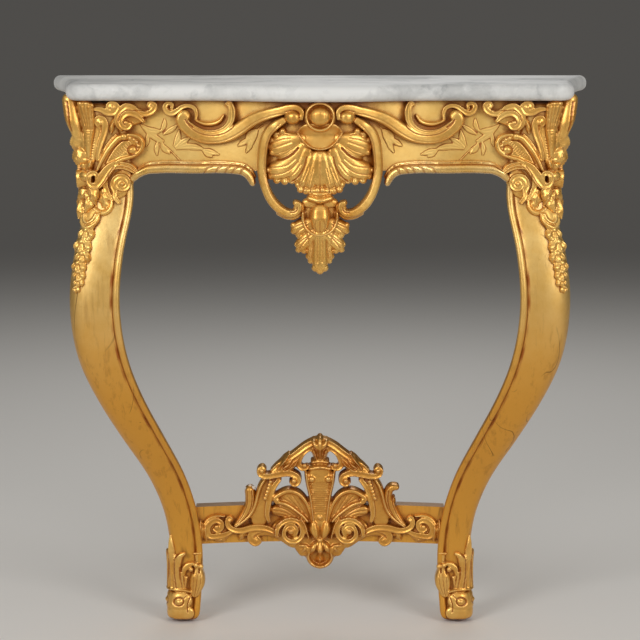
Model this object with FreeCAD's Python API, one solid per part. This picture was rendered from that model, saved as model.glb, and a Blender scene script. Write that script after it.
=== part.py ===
"""A carved and gilded pier table with a marble top, two scrolled legs and a crested stretcher.

Millimetres, +Z up, +X to the viewer's right, +Y towards the wall.  The origin is on the
floor, in the middle of the plan.  The right half is drawn and mirrored to the left.
"""
import FreeCAD, Part
import math
import os
from FreeCAD import Vector

# Marble top
TABLE_HEIGHT = 870.0
TOP_THICKNESS = 25.0
TOP_DEPTH = 400.0
TOP_BACK_WIDTH = 882.0
TOP_FRONT_WIDTH = 770.0
TOP_CORNER_RADIUS = 33.0
TOP_EDGE_FLAT = 1.0
BOW_DEPTH = 45.0
BOW_HALF_SPAN = 200.0
TOP_OVERHANG = 28.0

# Frame under the top
APRON_HEIGHT = 105.0
APRON_THICKNESS = 24.0
APRON_BRACKET_RADIUS = 20.0
SIDE_APRON_THICKNESS = 22.0
SIDE_OVERHANG = 27.0
BACK_RAIL_HEIGHT = 100.0
BACK_RAIL_THICKNESS = 22.0
BACK_RAIL_WIDTH = 806.0
BEARER_WIDTH = 45.0
BEARER_HEIGHT = 22.0
BLOCK_SIZE = 42.0
BLOCK_HEIGHT = 70.0
BLOCK_DROP = 12.0
WALL_HOLE_RADIUS = 4.0
WALL_HOLE_SPACING = 600.0
WALL_HOLE_DROP = 50.0

# Joinery
JOINT_CLEARANCE = 0.15
TENON_THICKNESS = 12.0
TENON_HEIGHT = 66.0
TENON_LENGTH = 28.0
TENON_DROP = 16.0
RAIL_TENON_LENGTH = 14.0
BEARER_TENON_HEIGHT = 12.0
PEG_RADIUS = 4.0
FRONT_PEG_DROP = 36.0
SIDE_PEG_DROP = 66.0
ANKLE_PEG_LENGTH = 38.0
SCREW_SHANK_RADIUS = 2.25
SCREW_HEAD_RADIUS = 4.5
SCREW_HEAD_HEIGHT = 3.2
SCREW_LENGTH = 34.0

# Legs: each station is a height, how far the outer and the inner face stand in from the
# front corner of the top, and how far the section is set back from the diagonal line
FRAME_TOP = TABLE_HEIGHT - TOP_THICKNESS
KNEE_HEIGHT = 540.0
NECK_DROP = 145.0
CAPITAL_DROP = 75.0
KNEE_REACH = 8.0
NECK_HEIGHT = FRAME_TOP - NECK_DROP
LEG_STATIONS = [
    (FRAME_TOP, 15.0, 85.0, 14.0),
    (FRAME_TOP - CAPITAL_DROP, 27.0, 93.0, 4.0),
    (NECK_HEIGHT, 31.0, 100.0, 0.0),
    ((NECK_HEIGHT + KNEE_HEIGHT) / 2, 12.0, 85.0, 0.0),
    (KNEE_HEIGHT, 3.0, 78.0, 0.0),
    (440.0, 16.0, 91.0, 0.0),
    (378.0, 41.0, 112.0, 0.0),
    (310.0, 76.0, 142.0, 0.0),
    (241.0, 114.0, 171.0, 0.0),
    (180.0, 136.0, 187.0, 0.0),
    (119.0, 145.0, 194.0, 0.0),
    (55.0, 146.0, 192.0, -3.0),
    (15.0, 144.0, 189.0, -6.0),
    (0.0, 145.0, 188.0, -6.0),
]
LEG_ARRIS_SHARE = 0.32
BEAD_WIDTH = 10.0
BEAD_SLOPE = 1.5
BEAD_HEIGHT = 2.5

# Stretcher between the ankles
STRETCHER_BOTTOM = 127.0
STRETCHER_HEIGHT = 61.0
STRETCHER_THICKNESS = 26.0
STRETCHER_BOW = 20.0
STRETCHER_TENON_HEIGHT = 36.0
STRETCHER_TENON_LENGTH = 22.0

# Carving depths, forward of the face that each piece is glued to
BAND_RELIEF = 14.0
FINE_BAND_RELIEF = 9.0
RING_RELIEF = 19.0
RING_BACK = 6.0
SHELL_RELIEF = 15.0
SAUCER_RELIEF = 21.0
BOSS_RELIEF = 24.0
PENDANT_RELIEF = 17.0
EGG_RELIEF = 23.0
KNEE_RELIEF = 14.0
KNEE_SINK = 6.0
CREST_BOARD_THICKNESS = 12.0
CREST_BAND_RELIEF = 22.0
CREST_PLUME_RELIEF = 26.0
STRETCHER_BAND_RELIEF = 12.0
SLIVER_VOLUME = 150.0

# Carving lines on the apron: across from the middle, down from the top of the frame, half width
RING_LINE = [
    (50, 23, 4), (70, 31, 6), (83, 47, 6.5), (89, 70, 6.5), (89, 98, 6.5), (83, 124, 6.5),
    (71, 143, 6.5), (55, 158, 6), (41, 163, 5.5), (31, 160, 5), (27, 152, 5),
]
S_SCROLL_LINE = [
    (31, 17, 4.5), (36, 8, 4.5), (46, 6, 5), (58, 8.5, 6), (76, 14, 7), (95, 22, 7.5), (116, 34, 7.5),
    (138, 45, 7.5), (160, 51, 7.5), (181, 48, 7), (197, 38, 6), (204, 25, 5.5), (199, 15.5, 5),
    (190, 15.5, 4.5),
]
S_SCROLL_EYE = (41.0, 19.0)
S_SCROLL_EYE_RADIUS = 7.0
INNER_SCROLL_LINE = [
    (223, 5, 3.5), (226, 9, 4), (221, 14, 4), (212, 13, 4.5), (203, 8, 4.5), (193, 5, 4), (184, 8, 4),
    (179, 17, 4), (180, 27, 4), (174, 34, 4.5), (158, 38, 4.5), (142, 33, 4.5), (131, 21, 4.5), (127, 10, 4),
    (132, 5, 3.5),
]
CORNER_SCROLL_LINE = [
    (254, 6, 4), (254, 14, 4.5), (263, 19, 5), (276, 16, 5), (291, 14, 5), (300, 23, 5), (296, 34, 5),
    (285, 35, 5), (281, 28, 4.5),
]
MOULDING_LINE = [
    (280, 117, 5.5), (268, 105, 5.5), (252, 99, 6), (235, 97, 6), (180, 97, 6), (130, 97, 6), (114, 101, 6),
    (105, 110, 5.5), (104, 120, 5),
]
BOSS_DROP = 20.5
BOSS_RADIUS = 15.5
BOSS_RING_RADIUS = 19.5
SAUCER_HALF_WIDTH = 31.0
SAUCER_DROP = 46.0
SAUCER_HEIGHT = 25.0
SHELL_FOCUS_DROP = 56.0
SHELL_FLUTE_START = 14.0
SHELL_FLUTE_HALF_WIDTH = 9.0
SHELL_FLUTE_TIPS = [
    (0, 126), (27, 128), (46, 113), (66, 108), (70, 95), (62, 80), (65, 68), (60, 50),
]
FLUTE_TAPER = [(0.0, 0.6), (0.6, 0.85), (1.0, 1.0)]
CALYX_LINE = [(-13, 142, 9), (0, 143, 10), (13, 142, 9)]
EGG_DROP = 175.0
EGG_HALF_WIDTH = 15.0
EGG_HALF_HEIGHT = 21.0
EGG_RIM_LINE = [(20, 152, 4), (22, 170, 4), (19, 187, 4), (11, 197, 4), (0, 201, 4)]
PENDANT_LINE = [(0, 211, 8), (0, 232, 9), (0, 253, 2.5)]
PENDANT_LEAF_LINES = [
    [(4, 206, 7), (22, 203, 6), (41, 196, 2.5)],
    [(3, 222, 7), (18, 224, 6), (34, 222, 2.5)],
    [(2, 236, 6), (10, 240, 5), (18, 242, 2.5)],
]

# Carving lines on the knees: across and down as on the apron
FEATHER_LINE = [(262, 58, 6), (278, 57, 11), (298, 66, 14), (315, 85, 12), (330, 106, 9), (343, 130, 4)]
KNEE_VOLUTE_LINE = [
    (303, 150, 4), (289, 144, 5), (280, 130, 5), (284, 114, 5), (299, 109, 5), (309, 119, 5), (303, 130, 4.5),
]
PALMETTE_OUTSETS = [21.0, 14.0, 9.0, 0.5]
PALMETTE_HALF_WIDTH = 44.0
PALMETTE_BEVEL = 13.0
PALMETTE_BOTTOM_DROP = 152.0
HUSK_TOP_DROP = 168.0
HUSK_LENGTH = 118.0
HUSK_COUNT = 13
HUSK_TOP_RADIUS = 11.0
HUSK_END_RADIUS = 5.0
FOOT_LEAF_THICKNESS = 5.0
FOOT_LEAF_BOTTOM = 3.0
FOOT_LEAF_SHOULDER = 78.0
FOOT_LEAF_TOP = 112.0

# Carving lines on the stretcher: across from the middle, up from its underside, half width
CREST_OUTLINE = [
    (120, 28), (104, 60), (90, 98), (99, 118), (92, 130), (80, 121), (60, 127), (46, 138), (33, 158),
    (14, 175), (0, 177),
]
CREST_OPENINGS = [(20, 146, 5.5, 7.0), (54, 107, 8.0, 5.0), (29, 110, 4.0, 10.0)]
CREST_BAND_LINE = [(114, 34, 5), (100, 62, 5), (91, 92, 5), (84, 110, 5)]
CREST_ARCH_LINE = [(84, 114, 5), (64, 121, 5), (47, 131, 5), (33, 150, 5), (19, 165, 4.5)]
CREST_CURL_LINE = [(78, 103, 4), (62, 114, 4.5), (44, 114, 4.5), (37, 104, 4.5), (43, 96, 4)]
CREST_EAR_LINE = [(88, 119, 5), (95, 122, 4.5), (96, 128, 4)]
PLUME_LINE = [(0, 48, 10), (0, 72, 14), (0, 99, 24)]
COLLAR_LINE = [(-10, 129, 7), (0, 130, 8), (10, 129, 7)]
FINIAL_LINE = [(0, 146, 9), (0, 160, 12), (0, 170, 6)]
WING_LINES = [
    [(15, 42, 7), (24, 66, 9), (40, 84, 9), (62, 86, 5)],
    [(20, 38, 6), (40, 54, 9), (62, 62, 8), (76, 58, 5)],
]
CREST_VOLUTE_CENTRE = (48.0, 20.0)
CREST_VOLUTE_RADIUS = 17.0
BOW_LINE = [(17, 24, 6), (8, 20, 7), (0, 22, 7), (-8, 20, 7), (-17, 24, 6)]
BUD_LINE = [(0, 0, 8), (0, -6, 8)]
ROSETTE_TIPS = [(0, -38), (15, -34), (26, -24), (36, -12)]
ROSETTE_FOCUS_RISE = 4.0
ROSETTE_LOBE_HALF_WIDTH = 9.0
LONG_SCROLL_LINE = [(151, 44, 4), (146, 31, 4.5), (136, 25, 5), (116, 26, 5.5), (97, 27, 5.5), (78, 20, 5)]
END_SCROLL_LINE = [
    (148, 9, 5), (161, 8, 5), (176, 11, 5), (182, 23, 5), (177, 37, 5), (165, 40, 5), (160, 31, 4.5),
]
HORN_LINE = [(134, 36, 5.5), (118, 50, 6), (109, 70, 5.5), (113, 88, 5)]
HORN_TIP_LINE = [(113, 88, 5), (121, 94, 5), (127, 89, 5)]

# Worked out from the sizes above
HALF_DEPTH = TOP_DEPTH / 2
HALF_FRONT = TOP_FRONT_WIDTH / 2
HALF_BACK = TOP_BACK_WIDTH / 2
STRAIGHT_FRONT = BOW_DEPTH - HALF_DEPTH
BOW_RADIUS = ((BOW_HALF_SPAN / 2) ** 2 + (BOW_DEPTH / 2) ** 2) / BOW_DEPTH
APRON_BOTTOM = FRAME_TOP - APRON_HEIGHT
APRON_BACK = STRAIGHT_FRONT + TOP_OVERHANG + APRON_THICKNESS
RAIL_FRONT = HALF_DEPTH - BACK_RAIL_THICKNESS
DIAGONAL = HALF_FRONT + STRAIGHT_FRONT - KNEE_REACH
FAR = 2 * TOP_BACK_WIDTH
COS_45 = math.sqrt(0.5)
ALONG_Y = Vector(0, 1, 0)
ACROSS = Vector(1, 0, 0)
UP = Vector(0, 0, 1)

nodes = {}


def mirrored(shape):
    """The same piece on the left side."""
    return shape.mirror(Vector(0, 0, 0), ACROSS)


def box(x_range, y_range, z_range):
    """A block between two values on each axis."""
    size = [span[1] - span[0] for span in (x_range, y_range, z_range)]
    return Part.makeBox(size[0], size[1], size[2], Vector(x_range[0], y_range[0], z_range[0]))


def joined(shapes):
    """One solid out of overlapping ones."""
    if len(shapes) == 1:
        return shapes[0]
    return shapes[0].multiFuse(shapes[1:]).removeSplitter()


def seated(shape, *neighbours):
    """Cut a piece to the faces of what it sits on, and drop the slivers."""
    for neighbour in neighbours:
        if shape.BoundBox.intersect(neighbour.BoundBox):
            shape = shape.cut(neighbour)
    solids = [solid for solid in shape.Solids if solid.Volume > SLIVER_VOLUME]
    if len(solids) == 1:
        return solids[0]
    return Part.makeCompound(solids)


def pair(name, right_shape):
    """Store a piece and its mirror image."""
    nodes[name + "_right"] = right_shape
    nodes[name + "_left"] = mirrored(right_shape)


def flat_face(edges):
    """A face bounded by edges in order."""
    return Part.Face(Part.Wire(edges))


def polygon(points):
    """A face with straight sides."""
    return Part.Face(Part.makePolygon(points + points[:1]))


def smooth(points):
    """A smooth edge through points."""
    curve = Part.BSplineCurve()
    curve.interpolate(points)
    return curve.toShape()


# Plan curves

def swelling_front(offset, half_length):
    """Edges of the front line from left to right: straight, a swelling of reversed arcs, straight."""
    flat_y = STRAIGHT_FRONT + offset
    apex = Vector(0, offset - HALF_DEPTH, 0)
    turn = math.atan2(BOW_HALF_SPAN / 2, BOW_RADIUS - BOW_DEPTH / 2)
    outer = BOW_RADIUS - offset
    inner = BOW_RADIUS + offset

    def on_swelling(angle):
        return Vector(outer * math.sin(angle), apex.y + outer * (1 - math.cos(angle)), 0)

    def on_hollow(angle):
        return Vector(BOW_HALF_SPAN - inner * math.sin(angle), flat_y - inner * (1 - math.cos(angle)), 0)

    def to_left(point):
        return Vector(-point.x, point.y, 0)

    meet = on_swelling(turn)
    hollow = on_hollow(turn / 2)
    flat = Vector(BOW_HALF_SPAN, flat_y, 0)
    end = Vector(half_length, flat_y, 0)
    return [
        Part.LineSegment(to_left(end), to_left(flat)).toShape(),
        Part.Arc(to_left(flat), to_left(hollow), to_left(meet)).toShape(),
        Part.Arc(to_left(meet), apex, meet).toShape(),
        Part.Arc(meet, hollow, flat).toShape(),
        Part.LineSegment(flat, end).toShape(),
    ]


def apron_slab(front_offset, back_offset, half_length, bottom, top):
    """A wall that follows the front of the top between two offsets from its edge."""
    front = swelling_front(front_offset, half_length)
    back = swelling_front(back_offset, half_length)
    ends = []
    for vertex_front, vertex_back in ((front[0].Vertexes[0], back[0].Vertexes[0]),
                                      (front[-1].Vertexes[-1], back[-1].Vertexes[-1])):
        ends.append(Part.LineSegment(vertex_front.Point, vertex_back.Point).toShape())
    face = flat_face(Part.sortEdges(front + back + ends)[0])
    face.translate(UP * bottom)
    return face.extrude(UP * (top - bottom))


def stretcher_slab(front, back, half_length, bottom, top):
    """A wall that follows the stretcher's bow, between distances forward of its front face."""
    middle = stretcher_line_y() + STRETCHER_BOW
    face_y = middle - STRETCHER_THICKNESS / 2
    half_span = leg_inner_at_stretcher()
    radius = (half_span ** 2 + STRETCHER_BOW ** 2) / (2 * STRETCHER_BOW)

    def arc(distance):
        swing = radius - distance
        angle = math.asin(half_length / swing)
        apex = face_y - distance
        drop = swing * (1 - math.cos(angle))
        left = Vector(-half_length, apex - drop, 0)
        right = Vector(half_length, apex - drop, 0)
        return Part.Arc(left, Vector(0, apex, 0), right).toShape(), left, right

    near, near_left, near_right = arc(front)
    far, far_left, far_right = arc(back)
    edges = [
        near,
        Part.LineSegment(near_right, far_right).toShape(),
        far,
        Part.LineSegment(far_left, near_left).toShape(),
    ]
    face = flat_face(Part.sortEdges(edges)[0])
    face.translate(UP * bottom)
    return face.extrude(UP * (top - bottom))


# Legs

def leg_section(station, outset, around=False):
    """Outline of a leg at one height: beads on two edges and a rounded outer corner."""
    height, outer_inset, inner_inset, set_back = station
    outer = HALF_FRONT - outer_inset + outset
    inner = HALF_FRONT - inner_inset
    front = DIAGONAL - outer + set_back
    back = DIAGONAL - inner + set_back
    if around:
        inner -= outset
        back += outset
    arris = LEG_ARRIS_SHARE * (outer - inner)
    corner = arris * (1 - COS_45)
    face_front = front + BEAD_HEIGHT
    face_outer = outer - BEAD_HEIGHT
    points = [
        (inner, back), (inner, front), (inner + BEAD_WIDTH, front),
        (inner + BEAD_WIDTH + BEAD_SLOPE, face_front), (face_outer - arris, face_front),
        (face_outer - corner, face_front + corner), (face_outer, face_front + arris),
        (face_outer, back - BEAD_WIDTH - BEAD_SLOPE), (outer, back - BEAD_WIDTH), (outer, back),
    ]
    spots = [Vector(x, y, height) for x, y in points]
    edges = [Part.LineSegment(spots[i], spots[i + 1]).toShape() for i in range(4)]
    edges.append(Part.Arc(spots[4], spots[5], spots[6]).toShape())
    edges += [Part.LineSegment(spots[i], spots[i + 1]).toShape() for i in range(6, 9)]
    edges.append(Part.LineSegment(spots[9], spots[0]).toShape())
    return Part.Wire(edges)


def leg_blank():
    """The whole right leg, before its mortises are cut."""
    wires = [leg_section(station, 0.0) for station in reversed(LEG_STATIONS)]
    return Part.makeLoft(wires, True, False)


def leg_faces_at(height):
    """Outer and inner face across, and front face, of the right leg at a height."""
    upper = LEG_STATIONS[0]
    for lower in LEG_STATIONS[1:]:
        if height >= lower[0]:
            share = (height - lower[0]) / (upper[0] - lower[0])
            values = [low + share * (high - low) for low, high in zip(lower, upper)]
            break
        upper = lower
    outer = HALF_FRONT - values[1]
    return outer, HALF_FRONT - values[2], DIAGONAL - outer + values[3]


def leg_inner_at_stretcher():
    """How far from the middle the stretcher meets the leg."""
    return leg_faces_at(STRETCHER_BOTTOM + STRETCHER_HEIGHT / 2)[1]


def stretcher_line_y():
    """Middle of the leg from front to back where the stretcher meets it."""
    outer, inner, front = leg_faces_at(STRETCHER_BOTTOM + STRETCHER_HEIGHT / 2)
    return front + (outer - inner) / 2


# Carving helpers

def band_face(line, place):
    """A face for a carved band: a smooth middle line with a width that changes along it."""
    middle = [place(x, rise) for x, rise, half in line]
    curve = Part.BSplineCurve()
    curve.interpolate(middle)
    one_side = []
    other_side = []
    ends = []
    for point, (x, rise, half) in zip(middle, line):
        direction = curve.tangent(curve.parameter(point))[0]
        sideways = Vector(-direction.z, 0, direction.x)
        one_side.append(point + sideways * half)
        other_side.append(point - sideways * half)
        ends.append((point, direction * half))
    first = ends[0][0] - ends[0][1]
    last = ends[-1][0] + ends[-1][1]
    return flat_face([
        smooth(one_side),
        Part.Arc(one_side[-1], last, other_side[-1]).toShape(),
        smooth(other_side[::-1]),
        Part.Arc(other_side[0], first, one_side[0]).toShape(),
    ])


def from_frame_top(x, drop):
    """A point of a carving line on the apron."""
    return Vector(x, 0, FRAME_TOP - drop)


def from_stretcher(x, rise):
    """A point of a carving line on the stretcher."""
    return Vector(x, 0, STRETCHER_BOTTOM + rise)


def prism(face):
    """A carving outline carried right through from front to back."""
    face = face.copy()
    face.translate(ALONG_Y * -FAR)
    return face.extrude(ALONG_Y * 2 * FAR)


def carved(faces, layer):
    """The part of a layer that lies behind one or more outlines."""
    return prism(joined(faces)).common(layer)


def on_apron(faces, relief, back=0.0):
    """Carving of an even height over the apron's face, or hanging below in line with it."""
    layer = apron_slab(TOP_OVERHANG - relief, TOP_OVERHANG + back, HALF_FRONT, STRETCHER_BOTTOM, FRAME_TOP)
    return carved(faces, layer)


def on_stretcher(faces, relief, start=0.0):
    """Carving of an even height over the stretcher's face, or standing above in line with it."""
    half_length = leg_inner_at_stretcher()
    layer = stretcher_slab(relief, start, half_length, 0.0, FRAME_TOP)
    return carved(faces, layer)


def on_knee(faces, relief):
    """Carving on the flat front of the right leg's neck."""
    front = leg_faces_at(NECK_HEIGHT)[2]
    layer = box((0, HALF_BACK), (front - relief, front + KNEE_SINK), (STRETCHER_BOTTOM, FRAME_TOP))
    return carved(faces, layer)


def across_the_corner(shape):
    """The same carving on the outer face of the right leg, mirrored in the diagonal plane."""
    return shape.mirror(Vector(DIAGONAL / 2, DIAGONAL / 2, 0), Vector(1, 1, 0))


def fan_faces(tips, focus, start, half_width, place):
    """Flutes that spread from a focus to each tip, on both sides of the middle."""
    faces = []
    for tip_x, tip_rise in tips:
        for side in (1, -1):
            if side < 0 and tip_x == 0:
                continue
            reach = math.hypot(tip_x, tip_rise - focus)
            way = (side * tip_x / reach, (tip_rise - focus) / reach)
            line = []
            for share, width in FLUTE_TAPER:
                distance = start + share * (reach - start - half_width)
                line.append((distance * way[0], focus + distance * way[1], width * half_width))
            faces.append(band_face(line, place))
    return faces


def both_sides(line):
    """A carving line and its mirror image."""
    return [line, [(-x, rise, half) for x, rise, half in line]]


# Marble top

def marble_top():
    """Slab with a swelling front, rounded front corners, hollow sides and a rounded edge."""
    corner_start = HALF_FRONT - TOP_CORNER_RADIUS
    side_start = STRAIGHT_FRONT + TOP_CORNER_RADIUS
    side_out = HALF_BACK - HALF_FRONT
    side_run = HALF_DEPTH - side_start
    side_radius = (side_out ** 2 + side_run ** 2) / (2 * side_out)
    half_turn = math.asin(side_run / side_radius) / 2
    diagonal_reach = TOP_CORNER_RADIUS * COS_45
    edges = swelling_front(0.0, corner_start)
    for side in (1, -1):
        corner = [
            Vector(side * corner_start, STRAIGHT_FRONT, 0),
            Vector(side * (corner_start + diagonal_reach), side_start - diagonal_reach, 0),
            Vector(side * HALF_FRONT, side_start, 0),
        ]
        hollow = [
            corner[2],
            Vector(side * (HALF_FRONT + side_radius * (1 - math.cos(half_turn))),
                   side_start + side_radius * math.sin(half_turn), 0),
            Vector(side * HALF_BACK, HALF_DEPTH, 0),
        ]
        edges.append(Part.Arc(*corner).toShape())
        edges.append(Part.Arc(*hollow).toShape())
    back = (Vector(-HALF_BACK, HALF_DEPTH, 0), Vector(HALF_BACK, HALF_DEPTH, 0))
    edges.append(Part.LineSegment(*back).toShape())
    face = flat_face(Part.sortEdges(edges)[0])
    face.translate(UP * FRAME_TOP)
    slab = face.extrude(UP * TOP_THICKNESS)
    rounded = []
    for edge in slab.Edges:
        upright = edge.BoundBox.ZLength > TOP_EDGE_FLAT
        at_back = edge.BoundBox.YMin > HALF_DEPTH - TOP_EDGE_FLAT
        if not upright and not at_back:
            rounded.append(edge)
    return slab.makeFillet((TOP_THICKNESS - TOP_EDGE_FLAT) / 2, rounded)


# Frame

def front_tenon_box(grow):
    """Where the front apron's right tenon goes into the leg."""
    inner = leg_faces_at(FRAME_TOP - TENON_DROP - TENON_HEIGHT)[1]
    reach = leg_faces_at(FRAME_TOP)[1] + TENON_LENGTH
    middle = APRON_BACK - APRON_THICKNESS / 2
    half = TENON_THICKNESS / 2 + grow
    top = FRAME_TOP - TENON_DROP
    return box((inner - APRON_THICKNESS, reach + grow), (middle - half, middle + half),
               (top - TENON_HEIGHT - grow, top + grow))


def side_tenon_box(grow):
    """Where the side apron's tenon goes into the back of the right leg."""
    outer, inner, front = leg_faces_at(FRAME_TOP)
    leg_back = front + (outer - inner)
    middle = side_apron_x(leg_back) - SIDE_APRON_THICKNESS / 2
    half = TENON_THICKNESS / 2 + grow
    top = FRAME_TOP - TENON_DROP
    return box((middle - half, middle + half), (leg_back - TENON_LENGTH - grow, leg_back + TENON_LENGTH),
               (top - TENON_HEIGHT - grow, top + grow))


def rail_tenon_box(grow):
    """Where the side apron's tenon goes into the back rail."""
    middle = side_apron_x(RAIL_FRONT) - SIDE_APRON_THICKNESS / 2
    half = TENON_THICKNESS / 2 + grow
    top = FRAME_TOP - TENON_DROP
    reach = RAIL_FRONT + RAIL_TENON_LENGTH + grow
    return box((middle - half, middle + half), (RAIL_FRONT - TENON_LENGTH, reach),
               (top - TENON_HEIGHT - grow, top + grow))


def side_apron_x(y):
    """Outer face of the right side apron at a depth."""
    start = STRAIGHT_FRONT + TOP_CORNER_RADIUS
    share = (y - start) / (HALF_DEPTH - start)
    return HALF_FRONT - SIDE_OVERHANG + share * (BACK_RAIL_WIDTH / 2 - HALF_FRONT + SIDE_OVERHANG)


def side_apron_board():
    """The slanting board at the right side, before its joints are cut."""
    outer, inner, front = leg_faces_at(FRAME_TOP)
    start = front + (outer - inner) / 2
    points = []
    for y, inset in ((start, 0.0), (RAIL_FRONT, 0.0), (RAIL_FRONT, 1.0), (start, 1.0)):
        points.append(Vector(side_apron_x(y) - inset * SIDE_APRON_THICKNESS, y, APRON_BOTTOM))
    return polygon(points).extrude(UP * APRON_HEIGHT)


def front_apron_board():
    """The swelling front board with a bracket at each end, before its joints are cut."""
    end = leg_faces_at(FRAME_TOP)[1] + BEAD_HEIGHT
    slab = apron_slab(TOP_OVERHANG, TOP_OVERHANG + APRON_THICKNESS, end, STRETCHER_BOTTOM, FRAME_TOP)
    leg_inner = leg_faces_at(APRON_BOTTOM - APRON_BRACKET_RADIUS)[1]
    radius = APRON_BRACKET_RADIUS
    bend = radius * (1 - COS_45)
    level = leg_inner - radius
    low = APRON_BOTTOM - radius
    edges = []
    for side in (1, -1):
        points = [
            Vector(side * level, 0, APRON_BOTTOM),
            Vector(side * (leg_inner - bend), 0, APRON_BOTTOM - bend),
            Vector(side * leg_inner, 0, low),
            Vector(side * end, 0, low),
            Vector(side * end, 0, FRAME_TOP),
        ]
        edges.append(Part.Arc(points[0], points[1], points[2]).toShape())
        edges.append(Part.LineSegment(points[2], points[3]).toShape())
        edges.append(Part.LineSegment(points[3], points[4]).toShape())
    edges.append(Part.LineSegment(Vector(-level, 0, APRON_BOTTOM), Vector(level, 0, APRON_BOTTOM)).toShape())
    edges.append(Part.LineSegment(Vector(-end, 0, FRAME_TOP), Vector(end, 0, FRAME_TOP)).toShape())
    return slab.common(prism(flat_face(Part.sortEdges(edges)[0])))


def bearer_box(grow):
    """The bar across the middle under the marble, with its tenons."""
    apron_back = TOP_OVERHANG + APRON_THICKNESS - HALF_DEPTH
    half = BEARER_WIDTH / 2
    low = FRAME_TOP - BEARER_HEIGHT
    bar = box((-half, half), (apron_back, RAIL_FRONT), (low, FRAME_TOP))
    tenon_half = half / 2 + grow
    tenon = box((-tenon_half, tenon_half),
                (apron_back - RAIL_TENON_LENGTH - grow, RAIL_FRONT + RAIL_TENON_LENGTH + grow),
                (low - grow, low + BEARER_TENON_HEIGHT + grow))
    return bar, tenon


def stretcher_tenon_box(grow):
    """Where the stretcher's right tenon goes into the leg."""
    inner = leg_inner_at_stretcher()
    middle = stretcher_line_y()
    half = TENON_THICKNESS / 2 + grow
    low = STRETCHER_BOTTOM + (STRETCHER_HEIGHT - STRETCHER_TENON_HEIGHT) / 2
    return box((inner - STRETCHER_THICKNESS, inner + STRETCHER_TENON_LENGTH + grow),
               (middle - half, middle + half), (low - grow, low + STRETCHER_TENON_HEIGHT + grow))


def right_pegs(grow):
    """Wooden pegs through the right leg's three tenons."""
    outer, inner, front = leg_faces_at(FRAME_TOP)
    back = front + (outer - inner)
    radius = PEG_RADIUS + grow
    front_spot = Vector(inner + TENON_LENGTH / 2, back, FRAME_TOP - FRONT_PEG_DROP)
    front_length = back - (APRON_BACK - APRON_THICKNESS)
    side_spot = Vector(inner, back - TENON_LENGTH / 2, FRAME_TOP - SIDE_PEG_DROP)
    side_length = side_apron_x(back) - inner
    ankle = STRETCHER_BOTTOM + STRETCHER_HEIGHT / 2
    ankle_outer, ankle_inner, ankle_front = leg_faces_at(ankle)
    ankle_back = ankle_front + (ankle_outer - ankle_inner)
    low_spot = Vector(ankle_inner + STRETCHER_TENON_LENGTH / 2, ankle_back, ankle)
    return [
        Part.makeCylinder(radius, front_length + grow, front_spot, -ALONG_Y),
        Part.makeCylinder(radius, side_length + grow, side_spot, ACROSS),
        Part.makeCylinder(radius, ANKLE_PEG_LENGTH + grow, low_spot, -ALONG_Y),
    ]


def right_blocks():
    """Three-cornered glue blocks inside the right front and right back corners."""
    top = FRAME_TOP - BLOCK_DROP
    leg_inner = leg_faces_at(top)[1]
    back_x = side_apron_x(RAIL_FRONT) - SIDE_APRON_THICKNESS
    narrow_x = side_apron_x(RAIL_FRONT - BLOCK_SIZE) - SIDE_APRON_THICKNESS
    blocks = []
    front = [(leg_inner, APRON_BACK), (leg_inner - BLOCK_SIZE, APRON_BACK),
             (leg_inner, APRON_BACK + BLOCK_SIZE)]
    back = [(back_x, RAIL_FRONT), (back_x - BLOCK_SIZE, RAIL_FRONT), (narrow_x, RAIL_FRONT - BLOCK_SIZE)]
    for corners in (front, back):
        face = polygon([Vector(x, y, top - BLOCK_HEIGHT) for x, y in corners])
        blocks.append(face.extrude(UP * BLOCK_HEIGHT))
    return blocks


def screw(spot, direction, grow):
    """A countersunk wood screw, head first."""
    shank = Part.makeCylinder(SCREW_SHANK_RADIUS + grow, SCREW_LENGTH + grow, spot, direction)
    head = Part.makeCone(SCREW_HEAD_RADIUS + grow, SCREW_SHANK_RADIUS + grow, SCREW_HEAD_HEIGHT, spot,
                         direction)
    return shank.fuse(head).removeSplitter()


def right_screws(grow):
    """One screw from each right glue block into the apron and the back rail."""
    top = FRAME_TOP - BLOCK_DROP
    leg_inner = leg_faces_at(top)[1]
    back_x = side_apron_x(RAIL_FRONT) - SIDE_APRON_THICKNESS
    height = top - BLOCK_HEIGHT / 2
    inset = BLOCK_SIZE / 2
    return [
        screw(Vector(leg_inner - inset, APRON_BACK + inset, height), -ALONG_Y, grow),
        screw(Vector(back_x - inset, RAIL_FRONT - inset, height), ALONG_Y, grow),
    ]


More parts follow.
